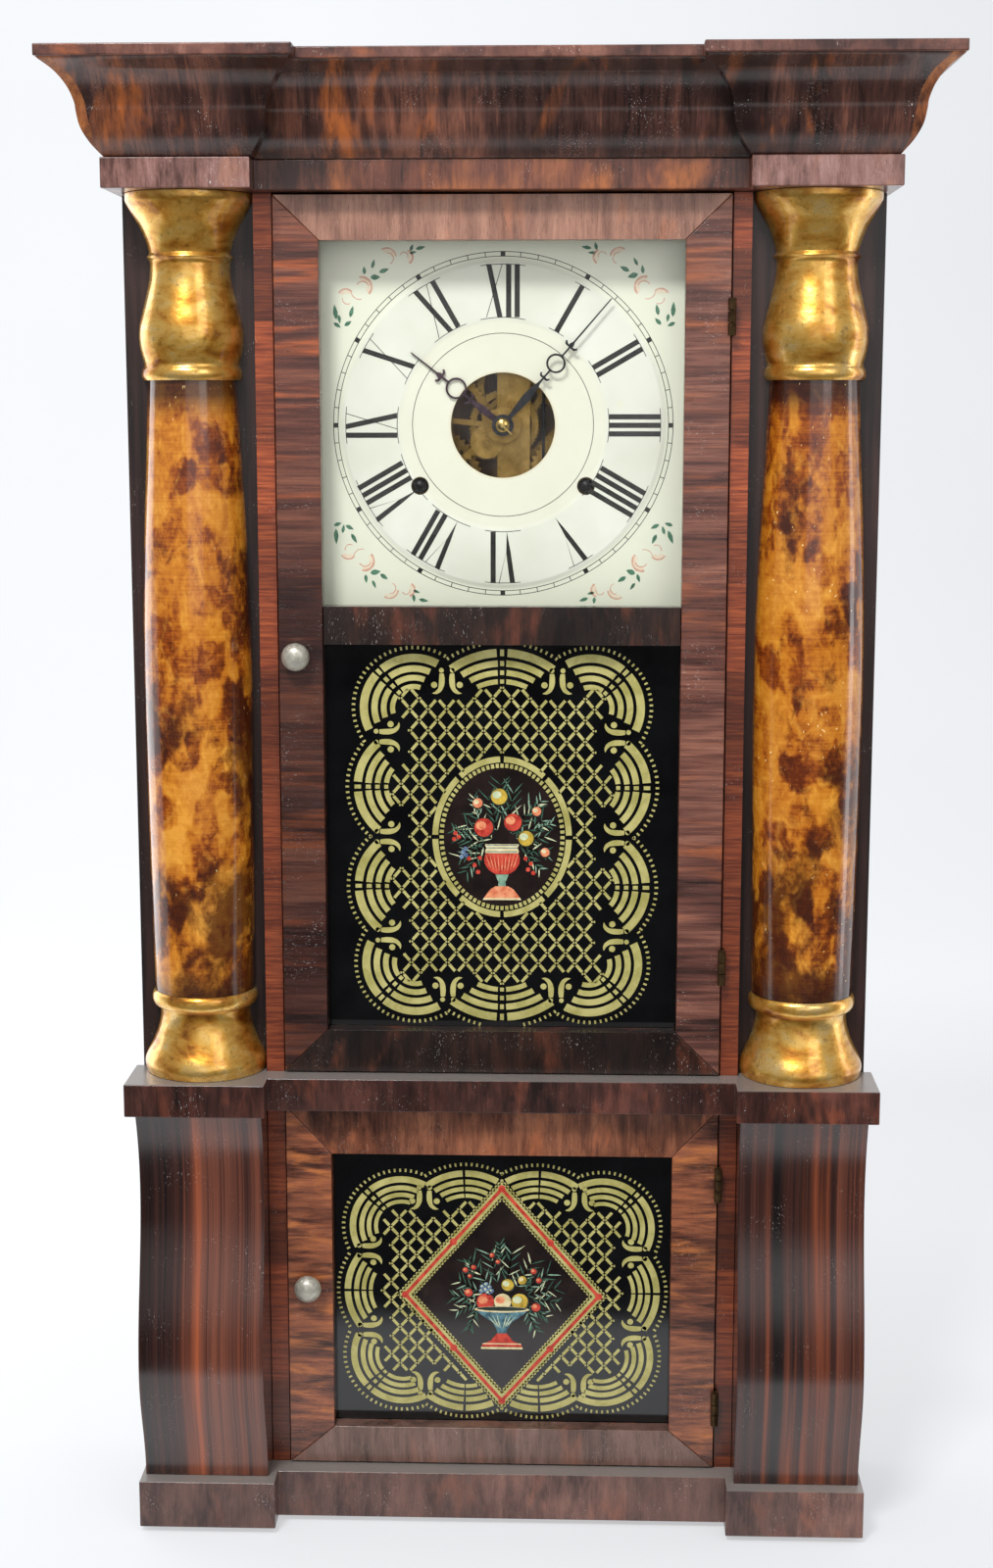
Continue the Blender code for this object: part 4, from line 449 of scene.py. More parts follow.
def smooth_through(points, steps):
    """Catmull-Rom curve through a list of points, with this many steps between neighbours."""
    padded = [points[0]] + list(points) + [points[-1]]
    curve = []
    for p0, p1, p2, p3 in zip(padded, padded[1:], padded[2:], padded[3:]):
        for step in range(steps):
            t = step / steps
            curve.append(tuple(0.5 * (2 * b + (c - a) * t + (2 * a - 5 * b + 4 * c - d) * t * t
                                      + (3 * b - a - 3 * c + d) * t ** 3)
                               for a, b, c, d in zip(p0, p1, p2, p3)))
    return curve + [tuple(points[-1])]


def both_sides(points):
    """Points of one side, then their mirror images from the last to the first."""
    return list(points) + [(-x, y) for x, y in reversed(points)]


def moved(start, angle, along, across=0.0):
    """The point this far from the start along an angle, anticlockwise from the right, and across it."""
    turn = math.radians(angle)
    return (start[0] + along * math.cos(turn) - across * math.sin(turn),
            start[1] + along * math.sin(turn) + across * math.cos(turn))


def ring_points(centre, radius, count, rise=None):
    """Points round a circle, or round an ellipse when its rise is given too."""
    rise = radius if rise is None else rise
    return [(centre[0] + radius * math.cos(2 * math.pi * i / count),
             centre[1] + rise * math.sin(2 * math.pi * i / count)) for i in range(count)]


def bridged(made, rings, closed, capped=False):
    """Faces between rings of points that follow one another. Gives back the corners of each ring."""
    rows = [[made.verts.new(point) for point in ring] for ring in rings]
    for lower, upper in zip(rows, rows[1:]):
        for index in range(len(lower) - (0 if closed else 1)):
            after = (index + 1) % len(lower)
            made.faces.new((lower[index], lower[after], upper[after], upper[index]))
    if capped:
        made.faces.new(rows[0])
        made.faces.new(rows[-1])
    return rows


def lathe(profile, centre, sectors, half=False, along="Z"):
    """Profile of (radius, height) turned about a vertical or a front-to-back axis. Half is the front half."""
    made = bmesh.new()
    start, sweep, count = (180, 180, sectors + 1) if half else (0, 360, sectors)
    rings = []
    for radius, height in profile:
        flat = [moved((0, 0), start + sweep * index / sectors, radius) for index in range(count)]
        rings.append([Vector(centre) + Vector((x, y, height) if along == "Z" else (x, height, y))
                      for x, y in flat])
    rows = bridged(made, rings, not half, capped=True)
    if half:
        made.faces.new([row[0] for row in rows] + [row[-1] for row in reversed(rows)])
    bmesh.ops.remove_doubles(made, verts=made.verts, dist=1e-6)
    return made


def plate(outlines, low, high, plane="XZ", made=None):
    """Flat shapes, each a list of points, given a thickness. Outlines after the first are holes."""
    made = made or bmesh.new()
    order = {"XZ": (0, 2, 1), "XY": (0, 1, 2), "YZ": (2, 0, 1)}[plane]
    shapes = bmesh.new()
    edges = []
    for outline in outlines:
        corners = [shapes.verts.new((*point, 0)) for point in outline]
        edges += [shapes.edges.new(pair) for pair in zip(corners[-1:] + corners, corners)]
    bmesh.ops.triangle_fill(shapes, edges=edges, use_beauty=True, normal=(0, 0, 1))
    sides = []
    for depth in (low, high):
        spots = {corner: (*corner.co.xy, depth) for corner in shapes.verts}
        sides.append({corner: made.verts.new([spot[axis] for axis in order])
                      for corner, spot in spots.items()})
        for face in shapes.faces:
            made.faces.new([sides[-1][corner] for corner in face.verts])
    for edge in shapes.edges:
        if edge.is_boundary:
            a, b = edge.verts
            made.faces.new((sides[0][a], sides[0][b], sides[1][b], sides[1][a]))
    shapes.free()
    return made


# Levels and faces that the pieces share
BLOCK_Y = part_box("frieze")[0].y
PANEL_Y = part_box("left_pilaster")[1].y
FRIEZE_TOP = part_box("cornice")[0].z
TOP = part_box("cornice")[1].z
SIDE_OUT, CASE_BACK, FRAME_BACK = 0.2081, 0.075, 0.0135
JAMB_IN, JAMB_OUT, JAMB_Y = 0.1247, 0.1353, -0.0058


# Cornice: crown lofted round the front and ends, with bare core at the ends and a capping strip
def cornice():
    foot_half, tip_half = 0.2097, 0.2370
    reach, foot_setback, recess = 0.038, 0.001, 0.0149
    foot_inner, tip_inner = 0.1319, 0.1044
    lip = 0.885
    profile = smooth_through([(0.0, 0.0), (0.12, 0.19), (0.26, 0.33), (0.40, 0.385), (0.50, 0.41),
                              (0.64, 0.51), (0.77, 0.69), (0.865, 0.925)], 6) + [(lip, 0.945)]

    def level(rise, flare):
        height = FRIEZE_TOP + rise * (TOP - FRIEZE_TOP)
        side = foot_half + flare * (tip_half - foot_half)
        front = BLOCK_Y + foot_setback - flare * (reach + foot_setback)
        turn = foot_inner + flare * (tip_inner - foot_inner)
        return height, side, front, turn

    front_rings, end_rings = [], {-1: [], 1: []}
    for rise, flare in profile:
        height, side, front, turn = level(rise, flare)
        # The veneer stops a little short of the ends, more so higher up
        end = side - min(0.0055, 0.0002 + 0.02 * rise) - 0.0030 * max(0.0, rise - 0.6)
        front_rings.append([(x, y, height) for x, y in
                            both_sides([(end, front), (turn, front), (turn, front + recess)])])
        for sign, rings in end_rings.items():
            rings.append([(sign * x, y, height) for x, y in
                          ((end, front), (side, front), (side, CASE_BACK), (SIDE_OUT, CASE_BACK),
                           (SIDE_OUT, FRAME_BACK), (end - 0.02, FRAME_BACK))])
    crown, ends = bmesh.new(), bmesh.new()
    bridged(crown, front_rings, False)
    piece("cornice_crown", crown, "cornice_side", "case", ["cornice"], sharp=50)
    for rings in end_rings.values():
        ends.faces.new(bridged(ends, rings, True)[-1])
    piece("cornice_ends", ends, "core_dark", "case", sharp=40)
    height, side, front, turn = level(lip, 1.0)
    outline = both_sides([(SIDE_OUT, FRAME_BACK), (SIDE_OUT, CASE_BACK), (side, CASE_BACK),
                          (side - 0.0002, front), (turn, front), (turn, front + recess)])
    piece("cornice_cap", plate([outline], height, TOP, "XY"), "cornice_top", "case", bevel=0.0008)


cornice()


# Frieze, shelf, plinth: stepped blocks with dust on their ledges
def stepped(name, half, inner, recess, back_points, base, top, look):
    outline = both_sides(back_points + [(half, BLOCK_Y), (inner, BLOCK_Y), (inner, BLOCK_Y + recess)])
    made = plate([outline], base, top, "XY")
    if isinstance(look, tuple):
        for face in made.faces:
            face.material_index = int(abs(face.calc_center_median().x) < inner)
    piece(f"{name}_moulding", made, look, "case", [name], bevel=0.0007)


side_back = [(SIDE_OUT, FRAME_BACK), (SIDE_OUT, CASE_BACK), (0.2116, CASE_BACK)]
jamb_back = [(JAMB_IN, FRAME_BACK), (JAMB_IN, JAMB_Y), (JAMB_OUT, JAMB_Y), (JAMB_OUT, PANEL_Y)]
stepped("frieze", 0.2116, 0.1319, 0.0160, side_back, 0.7577, 0.7737, ("block", "frieze"))
stepped("shelf", 0.2123, 0.1326, 0.0151, jamb_back + [(0.2123, PANEL_Y)], 0.2474, 0.2664, "dusty_shelf")
stepped("plinth", 0.2094, 0.1303, 0.0165, jamb_back + [(0.2094, PANEL_Y)], 0.0, 0.0279, "dusty_plinth")


# Ogee pilasters: a hollow below the shelf, then a swelling and a hollow down to the plinth
def pilasters():
    top, base, outer = 0.2471, 0.0282, 0.2068
    bulge, steps = 0.0090, 20
    stops = [(0.0135, 0.2020), (-0.0050, 0.0960), (0.0095, base)]
    shares = [step / steps for step in range(steps)]
    front = [(stops[0][0] - bulge * (1 - share) ** 2, top - (top - stops[0][1]) * share) for share in shares]
    for start, end in zip(stops, stops[1:]):
        front += [(start[0] + (end[0] - start[0]) * (1 - math.cos(math.pi * share)) / 2,
                   start[1] + (end[1] - start[1]) * share) for share in shares]
    front.append(stops[-1])
    outline = [(BLOCK_Y + setback, height) for setback, height in front] + [(PANEL_Y, base), (PANEL_Y, top)]
    for side, edges in (("left", (-outer, -JAMB_OUT)), ("right", (JAMB_OUT, outer))):
        piece(f"{side}_ogee", plate([outline], *edges, "YZ"), "ogee", "case",
              [f"{side}_pilaster"], sharp=30)


pilasters()


# Split columns: gilded capital, tortoiseshell shaft, gilded base
def columns():
    top, foot, axis = 0.7574, 0.2667, 0.0001
    capital = [(axis, top), (0.0348, top), (0.0348, top - 0.003)]
    for points, steps in (
            ([(0.0346, 0.7532), (0.0316, 0.7475), (0.0266, 0.7390), (0.0234, 0.7305), (0.0224, 0.7260)], 5),
            ([(0.0228, 0.7252), (0.0238, 0.7238), (0.0226, 0.7222)], 3),
            ([(0.0220, 0.7208), (0.0226, 0.7120), (0.0258, 0.6980), (0.0286, 0.6860), (0.0284, 0.6760),
              (0.0262, 0.6665)], 6),
            ([(0.0264, 0.6652), (0.0276, 0.6630), (0.0277, 0.6600), (0.0266, 0.6578)], 4)):
        capital += smooth_through(points, steps)
    capital.append((axis, 0.6578))
    shaft = smooth_through([(0.0246, 0.6579), (0.0262, 0.6200), (0.0291, 0.5600), (0.0304, 0.5000),
                            (0.0301, 0.4300), (0.0292, 0.3600), (0.0284, 0.3140)], 8)
    base = smooth_through([(0.0286, 0.3138), (0.0299, 0.3120), (0.0303, 0.3085), (0.0292, 0.3056),
                           (0.0270, 0.3042)], 4)
    base += smooth_through([(0.0260, 0.3034), (0.0258, 0.2990), (0.0272, 0.2920), (0.0306, 0.2830),
                            (0.0341, 0.2760), (0.0352, 0.2715), (0.0345, foot)], 6)
    shaft = [(axis, 0.6579)] + shaft + [(axis, 0.3139)]
    base = [(axis, 0.3138)] + base + [(axis, foot)]
    for side, across in (("left", -0.1710), ("right", 0.1710)):
        for part, profile, look, replaced in (("capital", capital, "gold", ()),
                                              ("shaft", shaft, f"{side}_shell", [f"{side}_column"]),
                                              ("base", base, "gold", ())):
            made = lathe(profile, (across, PANEL_Y, 0), 64, half=True)
            piece(f"{side}_{part}", made, look, "case", replaced)


columns()


# Doors: crossbanded members meeting at mitres
DOOR_FRONT, DOOR_BACK, REBATE_Y = -0.009, 0.009, 0.002
DOOR_HALF, REBATE, SEAM = 0.1241, 0.004, 0.00012


def door(name, base, top, inner, openings, stile_looks, rail_looks):
    """Two stiles, and rails round openings that reach to inner and are (low, high), from the top down."""
    lowest, highest = openings[-1][0], openings[0][1]

    def member(part, look, outline, shift=0.0, replaced=()):
        """Full shape in front of the rebate, and behind it one that stands back from the opening."""
        made = plate([outline(shift)], DOOR_FRONT, REBATE_Y)
        plate([outline(REBATE)], REBATE_Y, DOOR_BACK, made=made)
        piece(f"{name}_{part}", made, look, f"{name}_door", replaced, bevel=0.0006)

    def trapezoid(half, level, other_half, other_level):
        return [(-half, level), (half, level), (other_half, other_level), (-other_half, other_level)]

    for side, part, look, replaced in ((-1, "stile_left", stile_looks[0], [f"{name}_door_frame"]),
                                       (1, "stile_right", stile_looks[1], ())):
        member(part, look, lambda shift: [
            (side * DOOR_HALF, base), (side * DOOR_HALF, top), (side * (inner + shift), highest + shift),
            (side * (inner + shift), lowest - shift)], SEAM, replaced)
    for part, level, near, sign, look in (("rail_top", top, highest, 1, rail_looks[0]),
                                          ("rail_low", base, lowest, -1, rail_looks[-1])):
        member(part, look, lambda shift: trapezoid(DOOR_HALF - SEAM, level, inner + shift - SEAM,
                                                   near + sign * shift))
    for upper, lower in zip(openings, openings[1:]):
        member("rail_middle", rail_looks[1], lambda shift: trapezoid(
            inner + shift - SEAM, lower[1] + shift, inner + shift - SEAM, upper[0] - shift))


door("upper", 0.2673, 0.7565, 0.0993, [(0.5341, 0.7325), (0.2918, 0.5129)], ("left_stile", "right_stile"),
     ("pale_rail", "dark_rail", "dark_rail"))
door("lower", 0.0288, 0.2462, 0.0981, [(0.0510, 0.2180)], ("warm_stile", "warm_stile"),
     ("warm_rail", "grey_rail"))


# Knobs
knob = smooth_through([(0.0016, -0.02199), (0.0048, -0.0209), (0.0070, -0.0187), (0.0078, -0.0165),
                       (0.0074, -0.0146), (0.0058, -0.0136), (0.0036, -0.0130), (0.0034, -0.0110),
                       (0.0046, -0.0093)], 5)
knob = [(0.0001, -0.0220)] + knob + [(0.0001, -0.0093)]
for level, across, height in (("upper", -0.1140, 0.5066), ("lower", -0.1120, 0.1385)):
    piece(f"{level}_knob_cap", lathe(knob, (across, 0, height), 40, along="Y"), "pewter", f"{level}_catch")


# Flat work: paint, stencil work and hands
CORNERS = ((-1, -1), (1, -1), (1, 1), (-1, 1))


class Flat:
    """Flat shapes in front of a face, in millimetres from a middle, gathered into one mesh."""

    def __init__(self, middle, face, thickness, mesh=None):
        self.middle, self.face, self.thickness = middle, face, thickness
        self.mesh = mesh or bmesh.new()

    def add(self, *outlines, layers=1):
        """One shape, so many layers thick. Outlines after the first are holes."""
        placed = [[(self.middle[0] + u / 1000, self.middle[1] + v / 1000) for u, v in outline]
                  for outline in outlines]
        plate(placed, self.face - layers * self.thickness, self.face, made=self.mesh)

    def bar(self, centre, angle, length, width):
        """A flat bar with its length along an angle."""
        self.add([moved(centre, angle, a * length / 2, b * width / 2) for a, b in CORNERS])

    def band(self, centre, radius, width, start, end, steps):
        """A band of this width, with its middle line on part of a circle."""
        self.inset(centre, radius + width / 2, radius + width / 2, width, start, end, steps)

    def inset(self, centre, across, rise, width, start, end, steps):
        """A band inside part of an ellipse that reaches so far across and up."""
        angles = [math.radians(start + (end - start) * i / steps) for i in range(steps + 1)]
        self.add([(centre[0] + (across - shift) * math.cos(a), centre[1] + (rise - shift) * math.sin(a))
                  for shift, line in ((0, angles), (width, angles[::-1])) for a in line])


# Dial: painted numerals, minute track and flower sprays on a plate with a raised chapter ring
DIAL_LOW, DIAL_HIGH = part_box("dial_plate")
DIAL_FACE = DIAL_LOW.y
DIAL_MIDDLE = (0.0, (DIAL_LOW.z + DIAL_HIGH.z) / 2)
PAINT = 0.00004
WINDING_ASIDE, WINDING_DROP = 46.4, 33.5
NUMERAL_IN, NUMERAL_OUT = 59.0, 87.7
LETTER_GAP, HAIRLINE, SERIF = 1.8, 0.42, 3.2
# Width of each letter, and its strokes as corners of (across, share of height) from its left edge
LETTERS = {"I": (2.9, [[(0, 0), (0, 1), (2.9, 1), (2.9, 0)]]),
           "V": (9.1, [[(4.7, 0), (2.6, 0.38), (0, 1), (2.9, 1), (5.0, 0.42)],
                       [(4.8, 0.36), (8.8, 1), (9.22, 1), (5.0, 0.39)]]),
           "X": (9.2, [[(6.2, 0), (0, 1), (2.9, 1), (9.1, 0)], [(0, 0), (8.6, 1), (9.02, 1), (0.42, 0)]])}


def on_dial(angle, across, radius):
    """Point at a clockwise angle from twelve, set sideways by a distance. Down is towards the middle."""
    return moved((0, 0), 90 - angle, radius, -across)


def dial_paint(layers=1.0):
    """An empty coat of paint on the dial, so many layers thick."""
    return Flat(DIAL_MIDDLE, DIAL_FACE, layers * PAINT)


def numerals():
    paint = dial_paint()
    for hour, letters in enumerate("I II III IIII V VI VII VIII IX X XI XII".split(), start=1):
        angle = hour * 30
        width = sum(LETTERS[letter][0] + LETTER_GAP for letter in letters) - LETTER_GAP
        pen = -width / 2
        for letter in letters:
            for stroke in LETTERS[letter][1]:
                paint.add([on_dial(angle, pen + across, NUMERAL_IN + share * (NUMERAL_OUT - NUMERAL_IN))
                           for across, share in stroke])
            pen += LETTERS[letter][0] + LETTER_GAP
        for radius in [NUMERAL_OUT] if letters == "V" else [NUMERAL_OUT, NUMERAL_IN]:
            reach = math.degrees((width / 2 + SERIF) / radius)
            paint.band((0, 0), radius, HAIRLINE * 0.9, 90 - angle - reach, 90 - angle + reach, 10)
    piece("dial_numerals", paint.mesh, "black_paint", "case")


def minute_track():
    paint = dial_paint()
    outer, inner, opening = 94.5, 92.0, 50.4
    for radius, line in ((outer, 0.40), (inner, 0.40), (opening, 0.36)):
        for start in (0, 90, 180, 270):
            paint.band((0, 0), radius, line, start, start + 90, 36)
    for minute in range(60):
        half = 0.22 if minute % 5 else 1.3
        paint.add([on_dial(minute * 6, across, radius)
                   for across, radius in ((-half, inner), (-half, outer), (half, outer), (half, inner))])
    piece("dial_minute_track", paint.mesh, "black_paint", "case")


def leaf_points(base, angle, length, width, swells):
    """A leaf's outline from (share of the length, share of half the width) points."""
    return [moved(base, angle, share * length, swell * width / 2) for share, swell in swells]


def flower_sprays():
    """Leaves and faint rose strokes, in millimetres from the dial's middle, for the upper left corner."""
    swells = [(-0.5, 0), (-0.3, 0.75), (-0.05, 1.0), (0.25, 0.6), (0.5, 0), (0.25, -0.6), (-0.05, -1.0),
              (-0.3, -0.75)]
    leaves_at = ((-50.6, 96.9, 80, 3.8, 1.7), (-45.4, 96.8, 4, 5.1, 1.8), (-48.9, 93.3, 8, 4.1, 1.4),
                 (-72.2, 88.7, 68, 4.5, 1.6), (-76.7, 85.2, 97, 4.2, 1.8), (-66.4, 84.8, 28, 5.1, 2.2),
                 (-71.2, 81.0, -12, 5.1, 2.7), (-93.3, 62.6, 97, 7.4, 2.3), (-84.4, 62.9, 66, 5.6, 2.0),
                 (-90.4, 57.8, -72, 4.2, 1.7), (-92.5, 54.7, -30, 4.5, 1.9), (-85.4, 56.4, 38, 4.6, 2.0))
    strokes_at = ((-78.0, 75.5, 5.4, 105, -45, 0.9), (-77.6, 74.9, 3.6, 150, 20, 0.5),
                  (-79.4, 73.4, 4.6, 190, 285, 0.4), (-87.0, 70.0, 4.4, 150, 40, 0.7),
                  (-86.0, 69.0, 2.8, 170, 300, 0.4), (-53.5, 91.5, 3.8, 75, -60, 0.8),
                  (-54.6, 92.0, 2.2, 160, -20, 0.4), (-64.0, 91.5, 5.0, 125, 5, 0.6),
                  (-63.4, 90.8, 3.0, 100, -70, 0.4))
    chance = random.Random(5)
    leaves, strokes, blush = dial_paint(), dial_paint(), dial_paint(0.5)
    for side in (-1, 1):
        for level in (-1, 1):
            for x, z, angle, length, width in leaves_at:
                turn = angle + chance.uniform(-14, 14)
                turn = turn if side < 0 else 180 - turn
                turn = turn if level > 0 else -turn
                spot = (-side * x + chance.uniform(-0.8, 0.8), level * z + chance.uniform(-0.8, 0.8))
                length *= chance.uniform(1.0, 1.2)
                leaves.add(leaf_points(spot, turn, length, width * 1.15, swells))
            for x, z, radius, start, end, width in strokes_at:
                start, end = (start, end) if side < 0 else (180 - start, 180 - end)
                start, end = (start, end) if level > 0 else (-start, -end)
                strokes.band((-side * x, level * z), radius, width * 1.3, start, end, 12)
                if width > 0.5:
                    blush.band((-side * x, level * z), radius - 1.3, 2.4, start, end, 12)
    piece("dial_leaves", leaves.mesh, "leaf", "case")
    piece("dial_rose_strokes", strokes.mesh, "petal_edge", "case")
    piece("dial_rose_blush", blush.mesh, "petal_blush", "case")


def enamel(name):
    """Cream paint, raised inside the minute track, lower inside the numerals and yellowed at the edge."""
    shader = Shader(name, Coat_Weight=0.25, Coat_Roughness=0.2, Specular_IOR_Level=0.4)
    flat = shader.node("ShaderNodeMapping", {"Vector": shader.place, "Scale": (1, 0, 1),
                                             "Location": (0, 0, -DIAL_MIDDLE[1])}).outputs[0]
    radius = shader.node("ShaderNodeVectorMath", {0: flat}, operation="LENGTH").outputs["Value"]
    raised = shader.between(radius, 0.0915, 0.0880, interpolation_type="SMOOTHSTEP")
    dip = shader.between(radius, 0.0590, 0.0560, interpolation_type="SMOOTHSTEP")
    relief = shader.math("SUBTRACT", raised, shader.times(dip, 0.35))
    age = shader.noise(0.045)
    colour = shader.ramp(age, (0.35, "D0D2C1"), (0.65, "DBDDCF"))
    colour = shader.mix(shader.math("SUBTRACT", 1.0, raised), colour, "DADDC8")
    colour = shader.over(colour, "DAD9C2", dip, 0.6)
    colour = shader.mix(shader.between(radius, 0.0306, 0.0292, 0, 0.35), colour, "CDBB88")
    stain = shader.between(shader.noise(0.012, 3, start=(5, 0, 0)), 0.66, 0.80, 0, 0.30)
    colour = shader.mix(stain, colour, "D9CDA2")
    shader.done(colour, shader.spread(age, 0.30, 0.42), shader.bump(relief, 0.0007))


def dial():
    enamel("dial_enamel")
    face = Flat(DIAL_MIDDLE, DIAL_HIGH.y, DIAL_HIGH.y - DIAL_LOW.y)
    half_width, half_height = 500 * (DIAL_HIGH.x - DIAL_LOW.x), 500 * (DIAL_HIGH.z - DIAL_LOW.z)
    rim = [(a * half_width, b * half_height) for a, b in CORNERS]
    winding_holes = [ring_points((side * WINDING_ASIDE, -WINDING_DROP), 5.0, 32) for side in (-1, 1)]
    face.add(rim, ring_points((0, 0), 29.0, 96), *winding_holes)
    piece("dial_face", face.mesh, "dial_enamel", "case", ["dial_plate"])
    numerals()
    minute_track()
    flower_sprays()


dial()


# Winding arbors: dark domed ends that fill their holes
arbor_end = [(0.0001, 0.0140), (0.0014, 0.0142), (0.0027, 0.0149), (0.0037, 0.0160), (0.0042, 0.0172),
             (0.0042, 0.0200), (0.0001, 0.0200)]
for side, barrel in ((-1, "strike_barrel"), (1, "time_barrel")):
    centre = (side * WINDING_ASIDE / 1000, 0, DIAL_MIDDLE[1] - WINDING_DROP / 1000)
    piece(f"winding_end_{barrel}", lathe(arbor_end, centre, 28, along="Y"), "black_iron", barrel)


# Painted glass tablets: stencilled fans, scrolls, beads and lattice round a framed picture, in millimetres
UPPER_BANDS = ((4.6, 0.0), (3.6, 6.5), (3.2, 11.9), (2.8, 17.1))
LOWER_BANDS = ((3.8, 0.0), (2.9, 5.6), (2.6, 10.0), (2.3, 14.3))
FAN_DEPTH = 20.5
BEAD_OUT, BEAD_PITCH = 3.6, 3.2
STENCIL_PAINT = 0.00003
PICTURE_PAINT = 0.00002


class Stencil(Flat):
    """Golden stencil work on one tablet. Bands are (width, step inwards). Fans, given for the upper left as
    (centre, radius, start, end, split), and their beads stay where keep says. The lattice fills the field,
    given as half its width and height, and the hearts of the fans, but not the picture."""

    def __init__(self, node, middle, bands, fans, meetings, keep, beside_picture, field, pitch):
        super().__init__(middle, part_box(node)[0].y, STENCIL_PAINT)
        self.bands, self.fans = bands, mirrored(fans)
        self.keep, self.beside_picture, self.field = keep, beside_picture, field
        for fan in self.fans:
            self.fan(*fan)
        for place, inward in meetings:
            for side in (-1, 1):
                self.scroll(place, inward, side)
        self.lattice(*pitch)

    def fan(self, centre, radius, start, end, split):
        """Bands that get shorter inwards. A split fan has a small bar in the middle of each band."""
        middle, half_gap, steps = (start + end) / 2, 2.1, 60
        for width, step in self.bands:
            line = radius - step - width / 2
            inset = step * 0.62
            gap = math.degrees(half_gap / line) if split else 0.0
            angles = [start + inset + i * (end - start - 2 * inset) / steps for i in range(steps + 1)]
            for drawn, run in groupby(angles, lambda angle: self.keep(*moved(centre, angle, line))
                                      and abs(angle - middle) > gap):
                run = list(run)
                if drawn and len(run) > 3:
                    self.band(centre, line, width, run[0], run[-1], max(4, int((run[-1] - run[0]) / 4)))
            if split:
                self.bar(moved(centre, middle, line), middle, width * 0.8, 2.2)
        self.beads(centre, radius + BEAD_OUT, start - 8, end + 8)

    def beads(self, centre, radius, start, end):
        count = max(2, round(math.radians(end - start) * radius / BEAD_PITCH))
        for index in range(count + 1):
            angle = start + (end - start) * index / count
            u, v = moved(centre, angle, radius)
            if self.keep(u, v) and not self.in_fan(u, v, 0.4 - BEAD_OUT):
                self.bar((u, v), angle, 2.0, 1.1)

    def in_fan(self, u, v, depth):
        """Whether a place is further inside one of the fans than this depth."""
        return any(math.dist((u, v), centre) < radius - depth for centre, radius, *_ in self.fans)

    def scroll(self, place, inward, side):
        """A hooked stroke and two berries, on one side of where two fans meet."""
        hook = smooth_through([(5.2, 1.8), (8, 1.3), (12, 1.6), (15.4, 3.4), (16.8, 6), (16.4, 8.4)], 3)
        hook += smooth_through([(15.4, 6.6), (13.6, 5), (11.6, 4.6), (8, 4.4), (5.2, 4.2)], 3)
        self.add([moved(place, inward, a, b * side) for a, b in hook])
        for a, b, radius in ((11.6, 7.2, 1.8), (3.4, 3.1, 1.4)):
            self.add(ring_points(moved(place, inward, a, b * side), radius, 12))

    def in_lattice(self, u, v):
        in_field = abs(u) < self.field[0] and abs(v) < self.field[1]
        return self.beside_picture(u, v) and (in_field or self.in_fan(u, v, FAN_DEPTH))

    def lattice(self, across, rise):
        """Slanting dashes round diamonds, with two small bars in each diamond."""
        slant = math.degrees(math.atan2(rise, across))
        length = 0.64 * math.hypot(across, rise)
        for i in range(-24, 25):
            for j in range(-24 + i % 2, 25, 2):
                u, v = i * across, j * rise
                if self.in_lattice(u, v):
                    for shift in (-0.68, 0.68):
                        self.bar((u + shift, v), 90, 1.2, 0.9)
                for sign in (1, -1):
                    middle = (u + across / 2, v + sign * rise / 2)
                    if self.in_lattice(*middle):
                        self.bar(middle, sign * slant, length, 1.7)


def mirrored(fans):
    """Fans given for the upper left, and for the other three quarters too. One on an axis isn't doubled."""
    full = {}
    for (u, v), radius, start, end, split in fans:
        for side in (1, -1):
            for level in (1, -1):
                a, b = (start, end) if side > 0 else (180 - end, 180 - start)
                a, b = (a, b) if level > 0 else (-b, -a)
                full[side * u, level * v] = ((side * u, level * v), radius, a, b, split)
    return list(full.values())


def junctions(aside, heights, rise, places):
    """Places where fans meet, down both sides and along the top and bottom, with the direction inwards."""
    return ([((side * aside, v), 0 if side < 0 else 180) for side in (-1, 1) for v in heights]
            + [((u, level * rise), -90 * level) for u in places for level in (-1, 1)])


